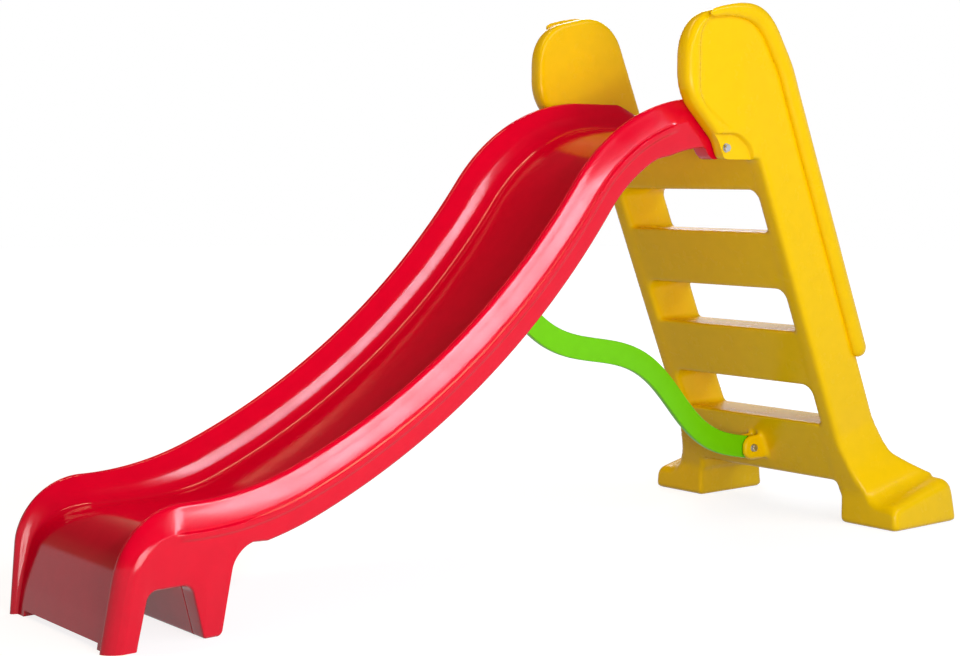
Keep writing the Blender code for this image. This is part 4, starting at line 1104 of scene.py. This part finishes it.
def join_forms(name, forms):
    """One mesh object that holds the meshes of several forms."""
    bm = bmesh.new()
    for piece in forms:
        bm.from_mesh(piece.data)
        bpy.data.objects.remove(piece, do_unlink=True)
    mesh = bpy.data.meshes.new(name)
    bm.to_mesh(mesh)
    bm.free()
    item = bpy.data.objects.new(name, mesh)
    bpy.context.scene.collection.objects.link(item)
    return item


class SLIDE_OT_add_ladder(bpy.types.Operator):
    """Add the moulded ladder with its lobes, grips and feet"""

    bl_idname = "slide.add_ladder"
    bl_label = "Ladder"

    def execute(self, context):
        sizes = context.scene.slide_ladder
        material = finish("rotomoulded_polyethylene_yellow")
        forms = [build_rungs(sizes), *ladder_ears(sizes)]
        for side in (-1, 1):
            forms += [build_panel(sizes, side), build_foot(sizes, side)]
        ladder = join_forms("ladder_moulding", forms)
        add_modifier(ladder, "REMESH", mode="VOXEL", voxel_size=sizes.voxel, adaptivity=0.0)
        add_modifier(ladder, "SMOOTH", factor=0.5, iterations=5)
        bake(ladder)
        bore = context.scene.slide_fasteners.bore / 2
        strut = context.scene.slide_strut
        tools = [add_pin("bore", (strut.lower_x, strut.lower_z), -CUTTER_HALF, CUTTER_HALF, bore)]
        for side in (-1, 1):
            tools += [pocket_tool(sizes, side), add_pin("bore", PIVOT, side * 0.18, side * 0.24, bore)]
        combine(ladder, "DIFFERENCE", *tools)
        ladder = join_forms("ladder_moulding", [ladder] + build_grips(sizes, material))
        coat(ladder, REMESHED_SHARP, "rotomoulded_polyethylene_yellow")
        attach(ladder, "ladder")
        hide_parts("ladder")
        return {"FINISHED"}


def wave_tree(name):
    """Geometry Nodes tree: a bar along a sine line between the two ends of an edge."""
    tree, given = new_tree(name, ("Depth", "Thickness", "Wave", "Edge round"), ("Half waves",))

    def vectors(operation, first, last):
        inputs = {0: first, "Scale" if operation == "SCALE" else 1: last}
        item = add_node(tree, "ShaderNodeVectorMath", inputs, operation=operation)
        return item.outputs["Value" if operation == "DOT_PRODUCT" else "Vector"]

    line = form(tree, "MeshToCurve", {"Mesh": given["Path"]})
    line = form(tree, "ResampleCurve", {"Curve": line, "Count": LINE_POINTS})
    share = add_node(tree, "GeometryNodeSplineParameter").outputs["Factor"]
    along = form(tree, "InputTangent")
    across = vectors("CROSS_PRODUCT", (0.0, 1.0, 0.0), along)
    turn = maths(tree, "MULTIPLY", maths(tree, "MULTIPLY", share, given["Half waves"]), math.pi)
    rise = maths(tree, "MULTIPLY", maths(tree, "SINE", turn), given["Wave"])
    wavy = form(tree, "SetPosition", {"Geometry": line, "Offset": vectors("SCALE", across, rise)})
    # The two ends run on by half the bar's depth, for their round heads
    half = maths(tree, "MULTIPLY", given["Depth"], 0.5)
    first = form(tree, "CurveEndpointSelection", {"End Size": 0})
    last = form(tree, "CurveEndpointSelection", {"Start Size": 0})
    way = maths(tree, "MULTIPLY", maths(tree, "SUBTRACT", last, first), half)
    longer = form(tree, "SetPosition", {"Geometry": wavy, "Offset": vectors("SCALE", along, way)})
    fine = form(tree, "ResampleCurve", {"Curve": longer, "Count": BAR_POINTS})
    kept = add_node(tree, "GeometryNodeCaptureAttribute", {"Geometry": sideways(tree, fine)}, domain="POINT")
    for kind, label, socket in (("VECTOR", "Centre", form(tree, "InputPosition")),
                                ("VECTOR", "Across", across),
                                ("FLOAT", "Narrow", round_ends(tree, half, 0.0004)[1])):
        kept.capture_items.new(kind, label)
        tree.links.new(socket, kept.inputs[label])
    box = form(tree, "CurvePrimitiveQuadrilateral", {"Width": given["Thickness"], "Height": given["Depth"]})
    soft = form(tree, "FilletCurve", {"Curve": box, "Count": 4, "Radius": given["Edge round"]}, mode="POLY")
    tube = form(tree, "CurveToMesh", {"Curve": kept.outputs["Geometry"], "Profile Curve": soft,
                                      "Fill Caps": True})
    # Round heads: each point near an end moves towards the centre line within the bar's plane
    spot = vectors("SUBTRACT", form(tree, "InputPosition"), kept.outputs["Centre"])
    out = vectors("DOT_PRODUCT", spot, kept.outputs["Across"])
    move = maths(tree, "MULTIPLY", out, maths(tree, "SUBTRACT", kept.outputs["Narrow"], 1.0))
    headed = form(tree, "SetPosition", {"Geometry": tube,
                                        "Offset": vectors("SCALE", kept.outputs["Across"], move)})
    return end_tree(tree, headed, given["Material"])


class SLIDE_OT_add_strut(bpy.types.Operator):
    """Add the wavy strut"""

    bl_idname = "slide.add_strut"
    bl_label = "Strut"

    def execute(self, context):
        sizes = context.scene.slide_strut
        upper = Vector((sizes.upper_x, 0.0, sizes.upper_z))
        lower = Vector((sizes.lower_x, 0.0, sizes.lower_z))
        strut = add_path("strut_bar", [upper, lower])
        run_tree(strut, wave_tree("wavy_bar"), **{
            "Depth": sizes.depth, "Thickness": sizes.thickness, "Wave": sizes.wave,
            "Half waves": sizes.half_waves, "Edge round": sizes.edge_round,
            "Material": finish("moulded_polyethylene_green")})
        bore = context.scene.slide_fasteners.bore / 2
        radius = bore + HOOK_CLEARANCE
        arm, swing = lower - Vector((PIVOT[0], 0.0, PIVOT[1])), lower - upper
        away = (Vector((arm.z, 0.0, -arm.x)) - Vector((swing.z, 0.0, -swing.x)) * FOLD_RATIO).normalized()
        across = Vector((-away.z, 0.0, away.x))
        slot = []
        for nth in range(25):
            turn = math.pi * nth / 24
            slot.append(lower + (across * math.cos(turn) - away * math.sin(turn)) * radius)
        slot += [lower - across * radius + away * sizes.depth, lower + across * radius + away * sizes.depth]
        tools = [add_pin("bore", (upper.x, upper.z), -CUTTER_HALF, CUTTER_HALF, bore),
                 add_prism("slot", [(point.x, point.z) for point in slot], -CUTTER_HALF, CUTTER_HALF)]
        combine(strut, "DIFFERENCE", *tools)
        coat(strut, SHARP, "moulded_polyethylene_green")
        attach(strut, "strut")
        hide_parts("strut")
        return {"FINISHED"}


class SLIDE_OT_add_fasteners(bpy.types.Operator):
    """Give the bolts, washers and nuts their zinc plating"""

    bl_idname = "slide.add_fasteners"
    bl_label = "Fasteners"

    def execute(self, context):
        for name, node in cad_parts.items():
            if "bolt" in name or "washer" in name or "nut" in name:
                node.data.materials.clear()
                node.data.materials.append(finish("zinc_plated_steel"))
        return {"FINISHED"}


def area_light(name, place, target, run, size, radiance, tone):
    """Softbox of a given radiance that faces the target, with its long side along run."""
    place, facing = Vector(place), (Vector(target) - Vector(place)).normalized()
    across = (Vector(run) - facing * facing.dot(Vector(run))).normalized()
    lamp = bpy.data.lights.new(name, "AREA")
    lamp.shape = "RECTANGLE"
    lamp.size, lamp.size_y = size
    lamp.energy = math.pi * size[0] * size[1] * radiance
    lamp.color = tone
    item = bpy.data.objects.new(name, lamp)
    turn = Matrix((across, (-facing).cross(across), -facing)).transposed().to_4x4()
    turn.translation = place
    item.matrix_world = turn
    bpy.context.scene.collection.objects.link(item)
    return item


def seen_ray(tree):
    """1 where a camera, glossy or transmission ray looks, 0 for diffuse light."""
    ray = add_node(tree, "ShaderNodeLightPath").outputs
    seen = maths(tree, "MAXIMUM", ray["Is Camera Ray"], ray["Is Glossy Ray"])
    return maths(tree, "MAXIMUM", seen, ray["Is Transmission Ray"])


class SLIDE_OT_add_stage(bpy.types.Operator):
    """Add the pale studio floor, the lamps and the camera"""

    bl_idname = "slide.add_stage"
    bl_label = "Stage"

    def execute(self, context):
        scene = context.scene
        bm = bmesh.new()
        bmesh.ops.create_circle(bm, cap_ends=True, segments=96, radius=FLOOR_RADIUS)
        floor = add_object("studio_floor", bm)
        material, tree, shader = new_material("matt_studio_floor")
        shader.inputs["Base Color"].default_value = scene.slide_finishes.floor
        shader.inputs["Roughness"].default_value = 0.9
        shader.inputs["Specular IOR Level"].default_value = 0.0
        # Bright where a ray looks at it, whiter still away from the object, so that no horizon shows
        place = add_node(tree, "ShaderNodeTexCoord").outputs["Object"]
        far = add_node(tree, "ShaderNodeVectorMath", {0: place}, operation="LENGTH").outputs["Value"]
        glow = maths(tree, "MULTIPLY", seen_ray(tree), spread(tree, far, *FLOOR_GLOW))
        shader.inputs["Emission Color"].default_value = (1.0, 1.0, 1.0, 1.0)
        tree.links.new(glow, shader.inputs["Emission Strength"])
        floor.data.materials.append(material)

        world = bpy.data.worlds.new("studio")
        scene.world = world
        world.use_nodes = True
        tree = world.node_tree
        back = tree.nodes["Background"]
        # White walls low over the horizon, a warm brown band where they meet a dim ceiling
        way = add_node(tree, "ShaderNodeTexCoord").outputs["Generated"]
        rise = add_node(tree, "ShaderNodeSeparateXYZ", {"Vector": way}).outputs["Z"]
        ramp = add_node(tree, "ShaderNodeValToRGB", {"Fac": rise})
        stops = ramp.color_ramp.elements
        stops[0].position, stops[0].color = 0.18, (1.0, 1.0, 1.0, 1.0)
        stops[1].position, stops[1].color = 1.0, (0.03, 0.03, 0.03, 1.0)
        for spot, tone in ((0.24, (0.42, 0.33, 0.22, 1.0)), (0.45, (0.10, 0.08, 0.07, 1.0))):
            stops.new(spot).color = tone
        tone = add_node(tree, "ShaderNodeMix", {"Factor": seen_ray(tree)}, data_type="RGBA")
        # The colour sockets of a mix node come after its number and vector sockets
        tone.inputs[6].default_value = (0.17, 0.17, 0.18, 1.0)
        tree.links.new(ramp.outputs["Color"], tone.inputs[7])
        tree.links.new(tone.outputs[2], back.inputs["Color"])

        for name, place, run, size, radiance, tint in LAMPS:
            area_light(name, place, LAMP_TARGETS.get(name, LAMP_CENTRE), run, size, radiance, tint)

        camera = bpy.data.objects.new("camera", bpy.data.cameras.new("camera"))
        scene.collection.objects.link(camera)
        scene.camera = camera
        yaw, pitch, roll = CAMERA_YAW, CAMERA_PITCH, CAMERA_ROLL
        ahead = Vector((math.sin(yaw) * math.cos(pitch), math.cos(yaw) * math.cos(pitch), -math.sin(pitch)))
        across = Vector((math.cos(yaw), -math.sin(yaw), 0.0))
        above = across.cross(ahead)
        right = math.cos(roll) * across + math.sin(roll) * above
        above = -math.sin(roll) * across + math.cos(roll) * above
        turn = Matrix((right, above, -ahead)).transposed().to_4x4()
        turn.translation = CAMERA_PLACE
        camera.matrix_world = turn
        camera.data.sensor_width = SENSOR_WIDTH
        camera.data.lens = FOCAL_PIXELS * SENSOR_WIDTH / PICTURE_WIDTH
        scene.view_settings.view_transform = "Standard"
        return {"FINISHED"}


class SLIDE_PT_panel(bpy.types.Panel):
    """Sidebar panel that lists the pieces"""

    bl_idname = "SLIDE_PT_panel"
    bl_label = "Folding kids slide"
    bl_space_type = "VIEW_3D"
    bl_region_type = "UI"
    bl_category = "Slide"

    def draw(self, context):
        for group in GROUPS:
            box = self.layout.box()
            settings = getattr(context.scene, group)
            for name in settings.__annotations__:
                box.prop(settings, name)
        for operator in STEPS:
            self.layout.operator(operator)


CLASSES = (*GROUPS.values(), SLIDE_OT_add_chute, SLIDE_OT_add_ladder, SLIDE_OT_add_strut,
           SLIDE_OT_add_fasteners, SLIDE_OT_add_stage, SLIDE_PT_panel)
STEPS = ("slide.add_chute", "slide.add_ladder", "slide.add_strut", "slide.add_fasteners", "slide.add_stage")


def register():
    for item in CLASSES:
        bpy.utils.register_class(item)
    for name, group in GROUPS.items():
        setattr(bpy.types.Scene, name, PointerProperty(type=group))


def unregister():
    for name in GROUPS:
        delattr(bpy.types.Scene, name)
    for item in reversed(CLASSES):
        bpy.utils.unregister_class(item)


def main():
    register()
    bpy.ops.slide.add_chute()
    bpy.ops.slide.add_ladder()
    bpy.ops.slide.add_strut()
    bpy.ops.slide.add_fasteners()
    bpy.ops.slide.add_stage()


if __name__ == "__main__":
    main()
